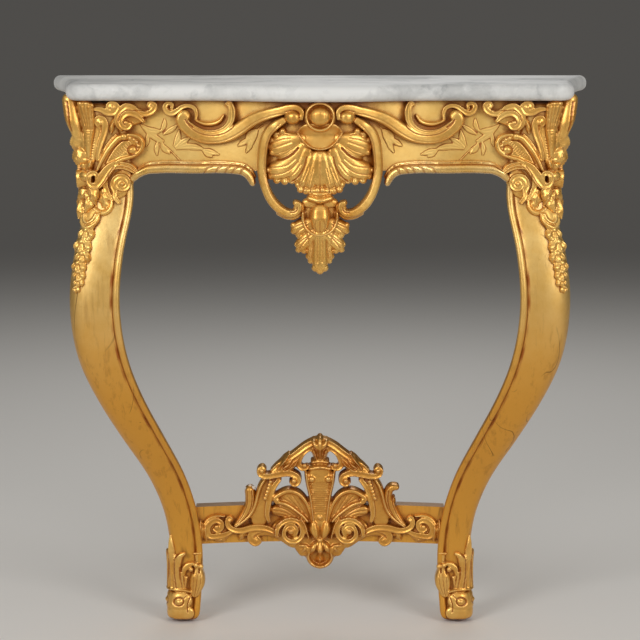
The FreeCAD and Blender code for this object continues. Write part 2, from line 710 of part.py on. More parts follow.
def build_frame():
    """Legs, aprons, rails, blocks and stretcher, each cut to its neighbours; gives back the leg's form."""
    leg_form = leg_blank()
    holes = right_pegs(JOINT_CLEARANCE)
    front_tenon = front_tenon_box(0.0)
    side_tenon = side_tenon_box(0.0)
    stretcher_tenon = stretcher_tenon_box(0.0)
    leg = leg_form
    for mortise in (front_tenon_box, side_tenon_box, stretcher_tenon_box):
        leg = leg.cut(mortise(JOINT_CLEARANCE).common(leg_form))
    for hole in holes:
        leg = leg.cut(hole)
    pair("leg", seated(leg))

    apron = front_apron_board().cut(leg_form).cut(mirrored(leg_form))
    bar, bar_tenon = bearer_box(0.0)
    mortise = bearer_box(JOINT_CLEARANCE)[1]
    tenons = [front_tenon, mirrored(front_tenon)]
    apron = joined([apron] + tenons).cut(mortise)
    for hole in [holes[0], mirrored(holes[0])] + right_screws(JOINT_CLEARANCE)[:1]:
        apron = apron.cut(hole)
    apron = apron.cut(mirrored(right_screws(JOINT_CLEARANCE)[0]))
    nodes["front_apron"] = seated(apron)

    side = side_apron_board().cut(leg_form)
    side = joined([side, side_tenon, rail_tenon_box(0.0)]).cut(holes[1])
    pair("side_apron", seated(side))

    rail = box((-BACK_RAIL_WIDTH / 2, BACK_RAIL_WIDTH / 2), (RAIL_FRONT, HALF_DEPTH),
               (FRAME_TOP - BACK_RAIL_HEIGHT, FRAME_TOP))
    slot = rail_tenon_box(JOINT_CLEARANCE)
    back_screw = right_screws(JOINT_CLEARANCE)[1]
    for cutter in (slot, mirrored(slot), mortise, back_screw, mirrored(back_screw)):
        rail = rail.cut(cutter)
    for side_sign in (1, -1):
        spot = Vector(side_sign * WALL_HOLE_SPACING / 2, RAIL_FRONT, FRAME_TOP - WALL_HOLE_DROP)
        rail = rail.cut(Part.makeCylinder(WALL_HOLE_RADIUS, BACK_RAIL_THICKNESS, spot, ALONG_Y))
    nodes["back_rail"] = seated(rail)
    nodes["bearer"] = seated(bar.fuse(bar_tenon).removeSplitter(), nodes["front_apron"])

    blocks = []
    screws = right_screws(JOINT_CLEARANCE)
    for block, hole in zip(right_blocks(), screws):
        block = seated(block.cut(hole), leg_form)
        blocks += [block, mirrored(block)]
    nodes["glue_blocks"] = Part.makeCompound(blocks)
    fixings = right_screws(0.0)
    nodes["block_screws"] = Part.makeCompound(fixings + [mirrored(fixing) for fixing in fixings])
    pegs = [seated(peg.common(leg_form)) for peg in right_pegs(0.0)]
    nodes["tenon_pegs"] = Part.makeCompound(pegs + [mirrored(peg) for peg in pegs])

    half_length = leg_inner_at_stretcher() + STRETCHER_THICKNESS / 2
    bar = stretcher_slab(0.0, -STRETCHER_THICKNESS, half_length, STRETCHER_BOTTOM,
                         STRETCHER_BOTTOM + STRETCHER_HEIGHT)
    bar = bar.cut(leg_form).cut(mirrored(leg_form))
    bar = joined([bar, stretcher_tenon, mirrored(stretcher_tenon)])
    nodes["stretcher"] = seated(bar.cut(holes[2]).cut(mirrored(holes[2])))
    return leg_form


# Carving on the apron

def build_apron_carving(leg_form):
    """Scrolls, mouldings, shell and pendant, outermost forms first."""
    apron = nodes["front_apron"]

    def band(line, relief, back=0.0):
        return on_apron([band_face(line, from_frame_top)], relief, back)

    ring = seated(band(RING_LINE, RING_RELIEF, RING_BACK), apron)
    pair("ring_scroll", ring)
    eye = Part.makeCircle(S_SCROLL_EYE_RADIUS, from_frame_top(*S_SCROLL_EYE), ALONG_Y)
    s_faces = [band_face(S_SCROLL_LINE, from_frame_top), flat_face([eye])]
    s_scroll = seated(on_apron(s_faces, BAND_RELIEF), ring)
    pair("s_scroll", s_scroll)
    pair("inner_scroll", seated(band(INNER_SCROLL_LINE, FINE_BAND_RELIEF), s_scroll))
    moulding = seated(band(MOULDING_LINE, FINE_BAND_RELIEF), leg_form, ring)
    pair("apron_moulding", moulding)

    rings = (ring, mirrored(ring))
    scrolls = (s_scroll, mirrored(s_scroll))
    boss_spot = from_frame_top(0, BOSS_DROP)
    boss_faces = [flat_face([Part.makeCircle(radius, boss_spot, ALONG_Y)])
                  for radius in (BOSS_RING_RADIUS, BOSS_RADIUS)]
    boss = joined([on_apron(boss_faces[:1], SHELL_RELIEF), on_apron(boss_faces[1:], BOSS_RELIEF)])
    nodes["centre_boss"] = seated(boss, *scrolls)

    saucer_top = FRAME_TOP - SAUCER_DROP
    rim = (Vector(-SAUCER_HALF_WIDTH, 0, saucer_top), Vector(SAUCER_HALF_WIDTH, 0, saucer_top))
    bowl = Part.Arc(rim[0], Vector(0, 0, saucer_top - SAUCER_HEIGHT), rim[1]).toShape()
    saucer_face = flat_face([Part.LineSegment(*rim).toShape(), bowl])
    saucer = seated(on_apron([saucer_face], SAUCER_RELIEF), nodes["centre_boss"], *scrolls)
    nodes["shell_saucer"] = saucer
    flutes = fan_faces(SHELL_FLUTE_TIPS, SHELL_FOCUS_DROP, SHELL_FLUTE_START, SHELL_FLUTE_HALF_WIDTH,
                       from_frame_top)
    shell = seated(on_apron(flutes, SHELL_RELIEF), saucer, nodes["centre_boss"], *rings, *scrolls)
    nodes["shell"] = shell

    calyx = seated(band(CALYX_LINE, PENDANT_RELIEF, RING_BACK), apron, shell, *rings)
    nodes["calyx"] = calyx
    rim_faces = [band_face(line, from_frame_top) for line in both_sides(EGG_RIM_LINE)]
    egg_rim = seated(on_apron(rim_faces, PENDANT_RELIEF, RING_BACK), calyx, *rings)
    nodes["egg_rim"] = egg_rim
    egg_curve = Part.Ellipse(from_frame_top(0, EGG_DROP + EGG_HALF_HEIGHT),
                             from_frame_top(EGG_HALF_WIDTH, EGG_DROP), from_frame_top(0, EGG_DROP))
    nodes["egg"] = seated(on_apron([flat_face([egg_curve.toShape()])], EGG_RELIEF, RING_BACK), egg_rim, calyx)
    leaf_lines = [PENDANT_LINE]
    for line in PENDANT_LEAF_LINES:
        leaf_lines += both_sides(line)
    leaf_faces = [band_face(line, from_frame_top) for line in leaf_lines]
    nodes["pendant_leaf"] = seated(on_apron(leaf_faces, PENDANT_RELIEF, RING_BACK), egg_rim, *rings)


# Carving on the legs

def build_leg_carving(leg_form):
    """Capital, feather, volute and husks on each knee, and the leaves round each foot."""
    moulding = nodes["apron_moulding_right"]
    around = (leg_form, nodes["front_apron"], nodes["side_apron_right"])
    feather = on_knee([band_face(FEATHER_LINE, from_frame_top)], KNEE_RELIEF)
    volute = on_knee([band_face(KNEE_VOLUTE_LINE, from_frame_top)], KNEE_RELIEF)
    feather_front = seated(feather, moulding, *around)
    feather_side = seated(across_the_corner(feather), *around)
    pair("knee_feather", Part.makeCompound([feather_front, feather_side]))
    volute_front = seated(volute, feather_front, moulding, *around)
    volute_side = seated(across_the_corner(volute), feather_side, *around)
    pair("knee_volute", Part.makeCompound([volute_front, volute_side]))

    wires = []
    for station, outset in zip(LEG_STATIONS, PALMETTE_OUTSETS):
        wires.append(leg_section(station, outset))
    sleeve = Part.makeLoft(wires[::-1], True, False)
    outer, inner, front = leg_faces_at(NECK_HEIGHT)
    reach = PALMETTE_HALF_WIDTH
    bevel = PALMETTE_BEVEL
    corner = [(outer - reach, front + bevel), (outer - reach, front - reach), (outer + reach, front - reach),
              (outer + reach, front + reach), (outer - bevel, front + reach)]
    bottom = FRAME_TOP - PALMETTE_BOTTOM_DROP
    wedge = polygon([Vector(x, y, bottom) for x, y in corner]).extrude(UP * PALMETTE_BOTTOM_DROP)
    palmette = seated(sleeve.common(wedge), *around, feather_front, feather_side, volute_front, volute_side)
    pair("knee_palmette", palmette)
    scroll = on_knee([band_face(CORNER_SCROLL_LINE, from_frame_top)], FINE_BAND_RELIEF)
    pair("corner_scroll", seated(scroll, palmette, feather_front, *around))


    husks = []
    for index in range(HUSK_COUNT):
        share = index / (HUSK_COUNT - 1)
        height = FRAME_TOP - HUSK_TOP_DROP - share * HUSK_LENGTH
        radius = HUSK_TOP_RADIUS + share * (HUSK_END_RADIUS - HUSK_TOP_RADIUS)
        outer, inner, front = leg_faces_at(height)
        inset = LEG_ARRIS_SHARE * (outer - inner) * (1 - COS_45) + BEAD_HEIGHT
        bead = Part.makeSphere(radius, Vector(outer - inset, front + inset, height))
        husks.append(bead)
    pair("husk_drop", seated(joined(husks), leg_form, palmette))

    foot_wires = [leg_section(station, FOOT_LEAF_THICKNESS, True) for station in LEG_STATIONS[-4:]]
    sleeve = Part.makeLoft(foot_wires[::-1], True, False)
    outer, inner, front = leg_faces_at(FOOT_LEAF_SHOULDER)
    spread = FOOT_LEAF_TOP - FOOT_LEAF_SHOULDER
    outline = [(inner - spread, FOOT_LEAF_BOTTOM), (outer + spread, FOOT_LEAF_BOTTOM),
               (outer + spread, FOOT_LEAF_SHOULDER), ((outer + inner) / 2, FOOT_LEAF_TOP),
               (inner - spread, FOOT_LEAF_SHOULDER)]
    leaf = prism(polygon([Vector(x, 0, z) for x, z in outline]))
    pair("foot_leaf", seated(sleeve.common(leaf).common(across_the_corner(leaf)), leg_form))


# Carving on the stretcher

def build_crest():
    """Pierced crest board on the stretcher with its carved bands, plume, wings and rosette."""
    stretcher = nodes["stretcher"]

    def band_faces(lines):
        return [band_face(line, from_stretcher) for line in lines]

    right_edge = smooth([from_stretcher(x, rise) for x, rise in CREST_OUTLINE])
    left_edge = smooth([from_stretcher(-x, rise) for x, rise in CREST_OUTLINE])
    base = Part.LineSegment(from_stretcher(-CREST_OUTLINE[0][0], CREST_OUTLINE[0][1]),
                            from_stretcher(*CREST_OUTLINE[0])).toShape()
    outline = flat_face(Part.sortEdges([right_edge, left_edge, base])[0])
    board = on_stretcher([outline], CREST_BOARD_THICKNESS)
    for x, rise, half_width, half_height in CREST_OPENINGS:
        for side in (1, -1):
            middle = from_stretcher(side * x, rise)
            short, long = sorted([(half_width, 0), (half_height, 1)])
            directions = (ACROSS, UP)
            ellipse = Part.Ellipse(middle + directions[long[1]] * long[0],
                                   middle + directions[short[1]] * short[0], middle)
            board = board.cut(prism(flat_face([ellipse.toShape()])))
    nodes["crest_board"] = seated(board)

    def raised(lines, relief):
        return on_stretcher(band_faces(lines), relief, CREST_BOARD_THICKNESS)

    plume = raised([PLUME_LINE], CREST_PLUME_RELIEF)
    nodes["crest_plume"] = seated(plume, nodes["crest_board"])
    finial = joined([raised([COLLAR_LINE], CREST_PLUME_RELIEF), raised([FINIAL_LINE], CREST_BAND_RELIEF)])
    nodes["crest_finial"] = seated(finial, plume)
    arch = raised([CREST_ARCH_LINE, CREST_EAR_LINE, CREST_CURL_LINE], CREST_BAND_RELIEF)
    arch = seated(arch, nodes["crest_finial"], plume)
    pair("crest_arch", arch)
    outer_band = seated(raised([CREST_BAND_LINE], CREST_BAND_RELIEF), arch)
    pair("crest_band", outer_band)
    wing = seated(raised(WING_LINES, CREST_BAND_RELIEF), plume, arch, outer_band)
    pair("crest_wing", wing)

    volute_spot = from_stretcher(*CREST_VOLUTE_CENTRE)
    volute_face = flat_face([Part.makeCircle(CREST_VOLUTE_RADIUS, volute_spot, ALONG_Y)])
    around = (stretcher, nodes["crest_board"], plume, wing)
    volute = seated(on_stretcher([volute_face], CREST_PLUME_RELIEF), *around)
    pair("crest_volute", volute)
    volutes = (volute, mirrored(volute))
    bow = seated(on_stretcher(band_faces([BOW_LINE]), CREST_PLUME_RELIEF), *around, *volutes)
    nodes["crest_bow"] = bow
    lobes = fan_faces(ROSETTE_TIPS, ROSETTE_FOCUS_RISE, 0.0, ROSETTE_LOBE_HALF_WIDTH, from_stretcher)
    bud = on_stretcher(band_faces([BUD_LINE]), CREST_BAND_RELIEF)
    rosette = joined([on_stretcher(lobes, STRETCHER_BAND_RELIEF), bud])
    rosette = seated(rosette, bow, *volutes)
    nodes["crest_rosette"] = rosette

    long_scroll = on_stretcher(band_faces([LONG_SCROLL_LINE]), STRETCHER_BAND_RELIEF)
    long_scroll = seated(long_scroll, nodes["crest_board"], outer_band, volute, rosette)
    pair("long_scroll", long_scroll)
    end_scroll = on_stretcher(band_faces([END_SCROLL_LINE]), STRETCHER_BAND_RELIEF)
    pair("end_scroll", seated(end_scroll, long_scroll, nodes["leg_right"]))
    horn_around = (nodes["crest_board"], outer_band, long_scroll)
    whole = on_stretcher(band_faces([HORN_LINE, HORN_TIP_LINE]), STRETCHER_BAND_RELIEF)
    broken = on_stretcher(band_faces([HORN_LINE]), STRETCHER_BAND_RELIEF)
    nodes["horn_right"] = seated(whole, *horn_around)
    nodes["horn_left_broken"] = mirrored(seated(broken, *horn_around))


def main():
    """Build every piece and write one file for each."""
    nodes["marble_top"] = marble_top()
    leg_form = build_frame()
    build_apron_carving(leg_form)
    build_leg_carving(leg_form)
    build_crest()
    os.makedirs("parts", exist_ok=True)
    for name, shape in nodes.items():
        solids = shape.Solids
        if not solids or not shape.isValid():
            raise ValueError("bad shape: " + name)
        shape.exportStep(os.path.join("parts", name + ".step"))
        print(name, len(solids), "solids", round(shape.Volume / 1000.0, 1), "cm3")


main()
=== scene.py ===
import math

import bmesh
import bpy
import numpy as np
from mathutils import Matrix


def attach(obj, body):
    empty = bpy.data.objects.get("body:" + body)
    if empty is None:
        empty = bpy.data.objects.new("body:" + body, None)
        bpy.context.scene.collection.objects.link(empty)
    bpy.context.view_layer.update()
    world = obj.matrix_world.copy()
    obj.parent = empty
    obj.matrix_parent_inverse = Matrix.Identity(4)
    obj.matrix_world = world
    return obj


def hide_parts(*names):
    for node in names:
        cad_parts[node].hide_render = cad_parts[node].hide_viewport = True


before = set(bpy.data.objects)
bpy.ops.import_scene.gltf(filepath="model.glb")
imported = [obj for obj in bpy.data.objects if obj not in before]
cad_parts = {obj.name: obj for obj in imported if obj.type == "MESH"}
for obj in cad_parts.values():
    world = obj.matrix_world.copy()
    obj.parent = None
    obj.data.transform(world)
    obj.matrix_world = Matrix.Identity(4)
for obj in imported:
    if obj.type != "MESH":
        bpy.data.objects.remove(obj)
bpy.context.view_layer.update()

bl_info = {
    "name": "Rococo pier table",
    "version": (1, 0, 0),
    "blender": (4, 5, 0),
    "location": "View3D > Sidebar > Pier table",
    "description": "A carved and gilded pier table with a white marble top, modelled around its packed frame",
    "category": "Object",
}

MM = 0.001

# Sizes of the frame that the carving lies on, in millimetres, with Z up and the front towards -Y
FRAME_TOP = 845.0
MARBLE_TOP = 870.0
HALF_FRONT = 385.0
HALF_BACK = 441.0
BACK_Y = 200.0
STRAIGHT_FRONT = -155.0
SIDE_START_Y = -122.0
CORNER_RADIUS = 33.0
# Power of the curve in which the marble's sides widen to the back
SIDE_HOLLOW = 1.6
BOW_DEPTH = 45.0
BOW_HALF_SPAN = 200.0
TOP_OVERHANG = 28.0
DIAGONAL = 222.0
SIDE_FRONT_X = 358.0
SIDE_BACK_X = 403.0
STRETCHER_BOTTOM = 127.0
STRETCHER_FRONT = 8.5
STRETCHER_BEND = 20.0
STRETCHER_HALF = 195.0
# Share of the leg's width that its outer arris is rounded over
ARRIS_SHARE = 0.32
# How far in the middle of the arris lies, as a share of that, and how far before it the face ends
ARRIS_MIDDLE = 0.26
ARRIS_LEAD = 2.0
# Makes up for what subdivision takes off the leg's corners
LEG_FULLNESS = 2.5
# How far in the leg's flat faces lie, and how deep carving is let into the knee and the board beside it
FACE_SINK = 0.6
KNEE_SINK = 2.0
BOARD_SINK = 1.0
# Bead and groove along an inner edge of the leg, as places across and back
BEAD = [(0.0, 8.0), (0.0, 1.0), (5.0, -1.4), (10.4, 0.6), (11.6, 4.6), (13.6, 2.4)]
BEAD_DEPTH = BEAD[0][1]
BEAD_WIDTH = BEAD[-1][0]

# Height, outer inset, inner inset and set-back of the leg at each station
LEG_STATIONS = [
    (845, 15, 85, 14),
    (770, 27, 93, 4),
    (700, 31, 100, 0),
    (620, 12, 85, 0),
    (540, 3, 78, 0),
    (440, 16, 91, 0),
    (378, 41, 112, 0),
    (310, 76, 142, 0),
    (241, 114, 171, 0),
    (180, 136, 187, 0),
    (119, 145, 194, 0),
    (55, 146, 192, -3),
    (15, 144, 189, -6),
    (0, 145, 188, -6),
]

# What gesso adds to each side of a carved form, less what the fusing takes off
GESSO = 0.6
# Depth of a knife cut at which its darkening, painted shade with dirt and bole, is full
CUT_DARK = 1.6
# Relief under which a knife leaves the ground alone
KNIFE_FLOOR = 0.3
# How far apart the sections of a band and of a leaf lie, and how many points each has
BAND_STEP = 1.6
BAND_POINTS = 25
LEAF_STEP = 1.2
LEAF_POINTS = 23
# How far back the forms of the pierced crest reach: its board, its open bands and the leaves on them
CREST_BOARD = 12.0
CREST_BAND = 8.0
CREST_LEAF = 2.0
CARVING_GRAIN = 0.9

# The stage: metres, degrees down, millimetres of lens
FLOOR_SIZE = 600.0
# Distances from the table between which the floor's paint runs from pale to dim, as painted shade
FLOOR_PALE_TO = 0.8
FLOOR_DIM_FROM = 5.5
# Light of the far end of the room, as dim as the floor's far edge
DIM_ROOM = 0.085
CAMERA_PLACE = (0, -3.5, 1.01)
CAMERA_DOWN = 8.45
LENS = 125.0
SENSOR = 36.0
# Name, place, size, watts and aim of each lamp
LAMPS = (
    ("key_lamp", (-1.7, -2.6, 1.75), 1.4, 39.5, (0, 0, 0.6)),
    ("fill_lamp", (1.8, -2.5, 1.6), 1.4, 32.5, (0, 0, 0.6)),
    ("back_lamp", (0.3, 2.8, 2.4), 1.6, 14, (0, 0, 0.5)),
)


def linear(code):
    """Linear RGB and alpha from an sRGB hex colour."""
    channels = [int(code[place:place + 2], 16) / 255 for place in (1, 3, 5)]
    return tuple(c / 12.92 if c <= 0.04045 else ((c + 0.055) / 1.055) ** 2.4 for c in channels) + (1.0,)


# Lines and surfaces


def through(points, spacing):
    """A smooth line through the points, sampled about every spacing along its first two columns."""
    points = np.array(points, float)
    steps = np.maximum(np.hypot(*np.diff(points[:, :2], axis=0).T), 1e-6)
    knots = np.concatenate(([0.0], np.cumsum(steps)))
    slopes = np.diff(points, axis=0) / steps[:, None]
    tangents = np.empty_like(points)
    tangents[0] = slopes[0]
    tangents[-1] = slopes[-1]
    before = steps[:-1, None]
    after = steps[1:, None]
    tangents[1:-1] = (slopes[:-1] * after + slopes[1:] * before) / (before + after)
    places = np.linspace(0, knots[-1], max(6, int(knots[-1] / spacing)))
    index = np.clip(np.searchsorted(knots, places, side="right") - 1, 0, len(steps) - 1)
    gap = steps[index][:, None]
    t = (places - knots[index])[:, None] / gap
    return (
        (2 * t**3 - 3 * t**2 + 1) * points[index]
        + (t**3 - 2 * t**2 + t) * gap * tangents[index]
        + (3 * t**2 - 2 * t**3) * points[index + 1]
        + (t**3 - t**2) * gap * tangents[index + 1]
    )


LEG_TABLE = through(LEG_STATIONS, spacing=3.0)[::-1]


def leg_at(z):
    """Outer and inner faces in X and the front face in Y of the right leg at a height."""
    outer, inner, set_back = (np.interp(z, LEG_TABLE[:, 0], LEG_TABLE[:, column]) for column in (1, 2, 3))
    return HALF_FRONT - outer, HALF_FRONT - inner, DIAGONAL - HALF_FRONT + outer + set_back


def swelling(x, offset):
    """Y of the serpentine front, moved back from the marble's edge by the offset."""
    radius = (BOW_HALF_SPAN**2 / 4 + BOW_DEPTH**2 / 4) / BOW_DEPTH
    away = np.abs(x)
    middle = STRAIGHT_FRONT - BOW_DEPTH + radius - np.sqrt(np.maximum((radius - offset) ** 2 - away**2, 0))
    reverse = STRAIGHT_FRONT - radius
    reverse = reverse + np.sqrt(np.maximum((radius + offset) ** 2 - (BOW_HALF_SPAN - away) ** 2, 0))
    join = BOW_HALF_SPAN / 2 * (radius - offset) / radius
    return np.where(away < join, middle, np.where(away < BOW_HALF_SPAN, reverse, STRAIGHT_FRONT + offset))


def on_apron(p):
    """Across, drop and relief on the front apron as a place in space."""
    return np.stack((p[:, 0], swelling(p[:, 0], TOP_OVERHANG - p[:, 2]), FRAME_TOP - p[:, 1]), axis=1)


def on_stretcher(p):
    """Across, rise and relief on the stretcher's face as a place in space."""
    face = STRETCHER_FRONT - STRETCHER_BEND * (p[:, 0] / STRETCHER_HALF) ** 2
    return np.stack((p[:, 0], face - p[:, 2], STRETCHER_BOTTOM + p[:, 1]), axis=1)


def on_knee(p):
    """Across, drop and relief on the front of the right knee as a place in space."""
    z = FRAME_TOP - p[:, 1]
    return np.stack((p[:, 0], leg_at(z)[2] + KNEE_SINK - p[:, 2], z), axis=1)


def on_side_knee(p):
    """The same on the side of the right knee, which mirrors the front in the leg's diagonal."""
    z = FRAME_TOP - p[:, 1]
    y = DIAGONAL - p[:, 0]
    share = (y - SIDE_START_Y) / (BACK_Y - SIDE_START_Y)
    board = SIDE_FRONT_X + share * (SIDE_BACK_X - SIDE_FRONT_X)
    face = np.maximum(leg_at(z)[0] - KNEE_SINK, board - BOARD_SINK)
    return np.stack((face + p[:, 2], y, z), axis=1)


def on_leg(p):
    """Distance round the outer arris, drop and relief on the right leg as a place in space."""
    z = FRAME_TOP - p[:, 1]
    outer, inner, front = leg_at(z)
    radius = ARRIS_SHARE * (outer - inner)
    quarter = radius * math.pi / 4
    turn = math.pi / 4 + np.clip(p[:, 0], -quarter, quarter) / radius
    x = outer - radius + np.sin(turn) * (radius + p[:, 2]) + np.minimum(p[:, 0] + quarter, 0)
    y = front + radius - np.cos(turn) * (radius + p[:, 2]) + np.maximum(p[:, 0] - quarter, 0)
    return np.stack((x, y, z), axis=1)


# Carved forms as closed shells in across, drop and relief


def sweep(line, across, rises, sink):
    """A closed shell along a line of across, drop and half width, with a rise for each place on a section."""
    direction = np.gradient(line[:, :2], axis=0)
    direction /= np.maximum(np.hypot(direction[:, 0], direction[:, 1]), 1e-9)[:, None]
    normal = np.stack((-direction[:, 1], direction[:, 0]), axis=1)
    offsets = np.concatenate((across, [across[-1], across[0]]))
    ring = len(offsets)
    flat = line[:, None, :2] + normal[:, None, :] * (line[:, 2, None] * offsets[None, :])[:, :, None]
    base = np.full((len(line), 2), -sink)
    heights = np.concatenate((rises, base), axis=1)
    points = np.concatenate((flat, heights[:, :, None]), axis=2).reshape(-1, 3)
    faces = []
    for row in range(len(line) - 1):
        for place in range(ring):
            following = (place + 1) % ring
            start = row * ring
            faces.append((start + place, start + following, start + ring + following, start + ring + place))
    faces.append(tuple(range(ring))[::-1])
    faces.append(tuple(range((len(line) - 1) * ring, len(line) * ring)))
    return points, faces


# Rise across a section, from one edge at -1 to the other at 1
SECTIONS = {
    "round": lambda s: np.sqrt(np.maximum(1 - s**2, 0)),
    "full": lambda s: np.maximum(1 - np.abs(s) ** 3.5, 0) ** 0.5,
    "flat": lambda s: np.maximum(1 - s**8, 0) ** 0.5,
    "ribbon": lambda s: np.maximum(1 - s**8, 0) ** 0.5 * (0.76 + 0.24 * s**2),
    "dish": lambda s: np.maximum(1 - s**12, 0) ** 0.5 * (0.4 + 0.6 * s**2),
    "ribbed": lambda s: np.maximum(1 - s**4, 0) ** 0.5 * (0.84 + 0.16 * np.cos(3 * math.pi * s)),
}


def spine(line, spacing):
    """A line of across, drop and half width, with a share of the height of 1 where a row gives none."""
    return through([tuple(row) + (1.0,) * (4 - len(row)) for row in line], spacing)


def band(line, height, section, sink=5.0, coat=GESSO):
    """A scroll band along a line of across, drop, half width and, if given, share of the height."""
    path = spine(line, BAND_STEP)
    path[:, 2] += coat
    turns = np.linspace(0, math.pi / 2, 5)[1:]
    ends = []
    for tip, inner in ((path[0], path[1]), (path[-1], path[-2])):
        way = (tip[:2] - inner[:2]) / max(np.hypot(*(tip[:2] - inner[:2])), 1e-9)
        rows = []
        for turn in turns:
            u, v = tip[:2] + way * tip[2] * math.sin(turn)
            rows.append((u, v, tip[2] * max(math.cos(turn), 0.08), tip[3] * (0.5 + 0.5 * math.cos(turn))))
        ends.append(np.array(rows))
    path = np.concatenate((ends[0][::-1], path, ends[1]))
    across = np.cos(np.linspace(0, math.pi, BAND_POINTS))
    rises = height * path[:, 3, None] * SECTIONS[section](across)[None, :]
    return sweep(path, across, rises, sink)


def leaf(line, height, lobes, notch, flute=0.3, rib=0.12, droop=0.4, sink=5.0, coat=GESSO):
    """A carved leaf along a line: lobed edges, flutes running out to the lobes, and a midrib."""
    path = spine(line, LEAF_STEP)
    share = np.linspace(0, 1, len(path))
    edge = 1 - notch * (1 - np.abs(np.sin(math.pi * share * lobes)) ** 0.7)
    across = np.linspace(1, -1, LEAF_POINTS)
    wide = np.abs(across)[None, :]
    along = share[:, None]
    rise = 1 - droop * wide**2
    rise = rise - flute * wide * (0.5 + 0.5 * np.cos(2 * math.pi * (along * lobes - 0.45 * (wide - 1))))
    rise = rise + rib * np.exp(-((across[None, :] / 0.1) ** 2))
    rises = height * path[:, 3, None] * rise
    path[:, 2] = path[:, 2] * edge + coat
    return sweep(path, across, rises, sink)


def ball(u, v, radius, rise, stretch=(1.0, 1.0, 1.0)):
    """A closed globe with its middle at the rise."""
    count = 16
    rings = 9
    points = [(u, v, rise + radius * stretch[2])]
    for ring in range(1, rings):
        lean = math.pi * ring / rings
        for step in range(count):
            turn = 2 * math.pi * step / count
            points.append((
                u + radius * stretch[0] * math.sin(lean) * math.cos(turn),
                v + radius * stretch[1] * math.sin(lean) * math.sin(turn),
                rise + radius * stretch[2] * math.cos(lean),
            ))
    points.append((u, v, rise - radius * stretch[2]))
    faces = []
    for step in range(count):
        following = (step + 1) % count
        faces.append((0, 1 + step, 1 + following))
        for ring in range(rings - 2):
            start = 1 + ring * count
            faces.append((start + step, start + count + step, start + count + following, start + following))
        start = 1 + (rings - 2) * count
        faces.append((start + step, len(points) - 1, start + following))
    return np.array(points), faces


def pearls(*rows):
    """Globes from rows of across, drop, radius and rise."""
    return [ball(*row) for row in rows]


def spiral(u, v, start, end, angle, turns, half, tip):
    """The line of a volute that winds in from the start radius to the end radius."""
    count = 24
    rows = []
    for step in range(count):
        share = step / (count - 1)
        radius = start * (end / start) ** share
        turn = math.radians(angle) + 2 * math.pi * turns * share
        rows.append((u + radius * math.cos(turn), v + radius * math.sin(turn), half + (tip - half) * share))
    return rows


def flipped(cuts):
    """The same knife cuts on the other side of the middle."""
    return [([(-row[0],) + tuple(row[1:]) for row in line], half, deep) for line, half, deep in cuts]


def mirrored(forms):
    """The same forms on the other side of the middle."""
    return [(points * (-1, 1, 1), [face[::-1] for face in faces]) for points, faces in forms]


# Making objects


def new_mesh_object(name, points, faces):
    """An object at the origin, alone in the selection."""
    bpy.ops.object.select_all(action="DESELECT")
    mesh = bpy.data.meshes.new(name)
    mesh.from_pydata([tuple(p) for p in points], [], faces)
    mesh.validate()
    made = bpy.data.objects.new(name, mesh)
    bpy.context.scene.collection.objects.link(made)
    made.select_set(True)
    bpy.context.view_layer.objects.active = made
    return made


def face_outwards():
    """Turns the faces of the active object outwards."""
    bpy.ops.object.mode_set(mode="EDIT")
    bpy.ops.mesh.select_all(action="SELECT")
    bpy.ops.mesh.normals_make_consistent(inside=False)
    bpy.ops.object.mode_set(mode="OBJECT")


def apply_modifier(made, kind, **settings):
    """Adds a modifier with its settings and applies it."""
    modifier = made.modifiers.new(kind.title(), kind)
    for name, value in settings.items():
        setattr(modifier, name, value)
    bpy.context.view_layer.objects.active = made
    bpy.ops.object.modifier_apply(modifier=modifier.name)


def knife(points, cuts):
    """Depth of the knife cuts at each flat point: each cut has a line, a half width and a depth."""
    depth = np.zeros(len(points))
    for line, half, deep in cuts:
        path = through(line, spacing=1.0)[:, :2]
        low = path.min(axis=0) - half
        high = path.max(axis=0) + half
        inside = np.all((points[:, :2] > low) & (points[:, :2] < high), axis=1)
        near = np.nonzero(inside & (points[:, 2] > KNIFE_FLOOR))[0]
        if len(near):
            gaps = np.hypot(*np.moveaxis(points[near, None, :2] - path[None, :, :], 2, 0)).min(axis=1)
            depth[near] = np.maximum(depth[near], deep * np.maximum(1 - (gaps / half) ** 2, 0))
    return depth


def carve(name, carriers, forms, cuts=(), grain=CARVING_GRAIN, smooth=2):
    """One carving fused out of shells in the flat, softened as by gesso, cut and laid on its carriers."""
    points = []
    faces = []
    for shell, shell_faces in forms:
        start = sum(len(group) for group in points)
        points.append(np.asarray(shell, float) * MM)
        faces += [tuple(start + corner for corner in face) for face in shell_faces]
    made = new_mesh_object(name, np.concatenate(points), faces)
    face_outwards()
    coarse = 1.0
    apply_modifier(made, "REMESH", mode="VOXEL", voxel_size=grain * coarse * MM)
    apply_modifier(made, "SMOOTH", factor=0.5, iterations=smooth)
    flat = np.empty(len(made.data.vertices) * 3)
    made.data.vertices.foreach_get("co", flat)
    flat = flat.reshape(-1, 3) / MM
    depth = knife(flat, cuts)
    flat[:, 2] -= depth
    # The cut depth is kept for the gilding, which paints the cuts dark as shade, dirt and bole
    hollow = made.data.attributes.new("hollow", "FLOAT", "POINT")
    hollow.data.foreach_set("value", np.clip(depth / CUT_DARK, 0, 1))
    laid = [made]
    for _ in carriers[1:]:
        bpy.ops.object.duplicate()
        laid.append(bpy.context.view_layer.objects.active)
    for item, carrier in zip(laid, carriers):
        item.data.vertices.foreach_set("co", (carrier(flat) * MM).ravel())
        item.data.update()
        item.select_set(True)
    bpy.context.view_layer.objects.active = made
    if len(laid) > 1:
        bpy.ops.object.join()
    face_outwards()
    bpy.ops.object.shade_smooth()
    return made


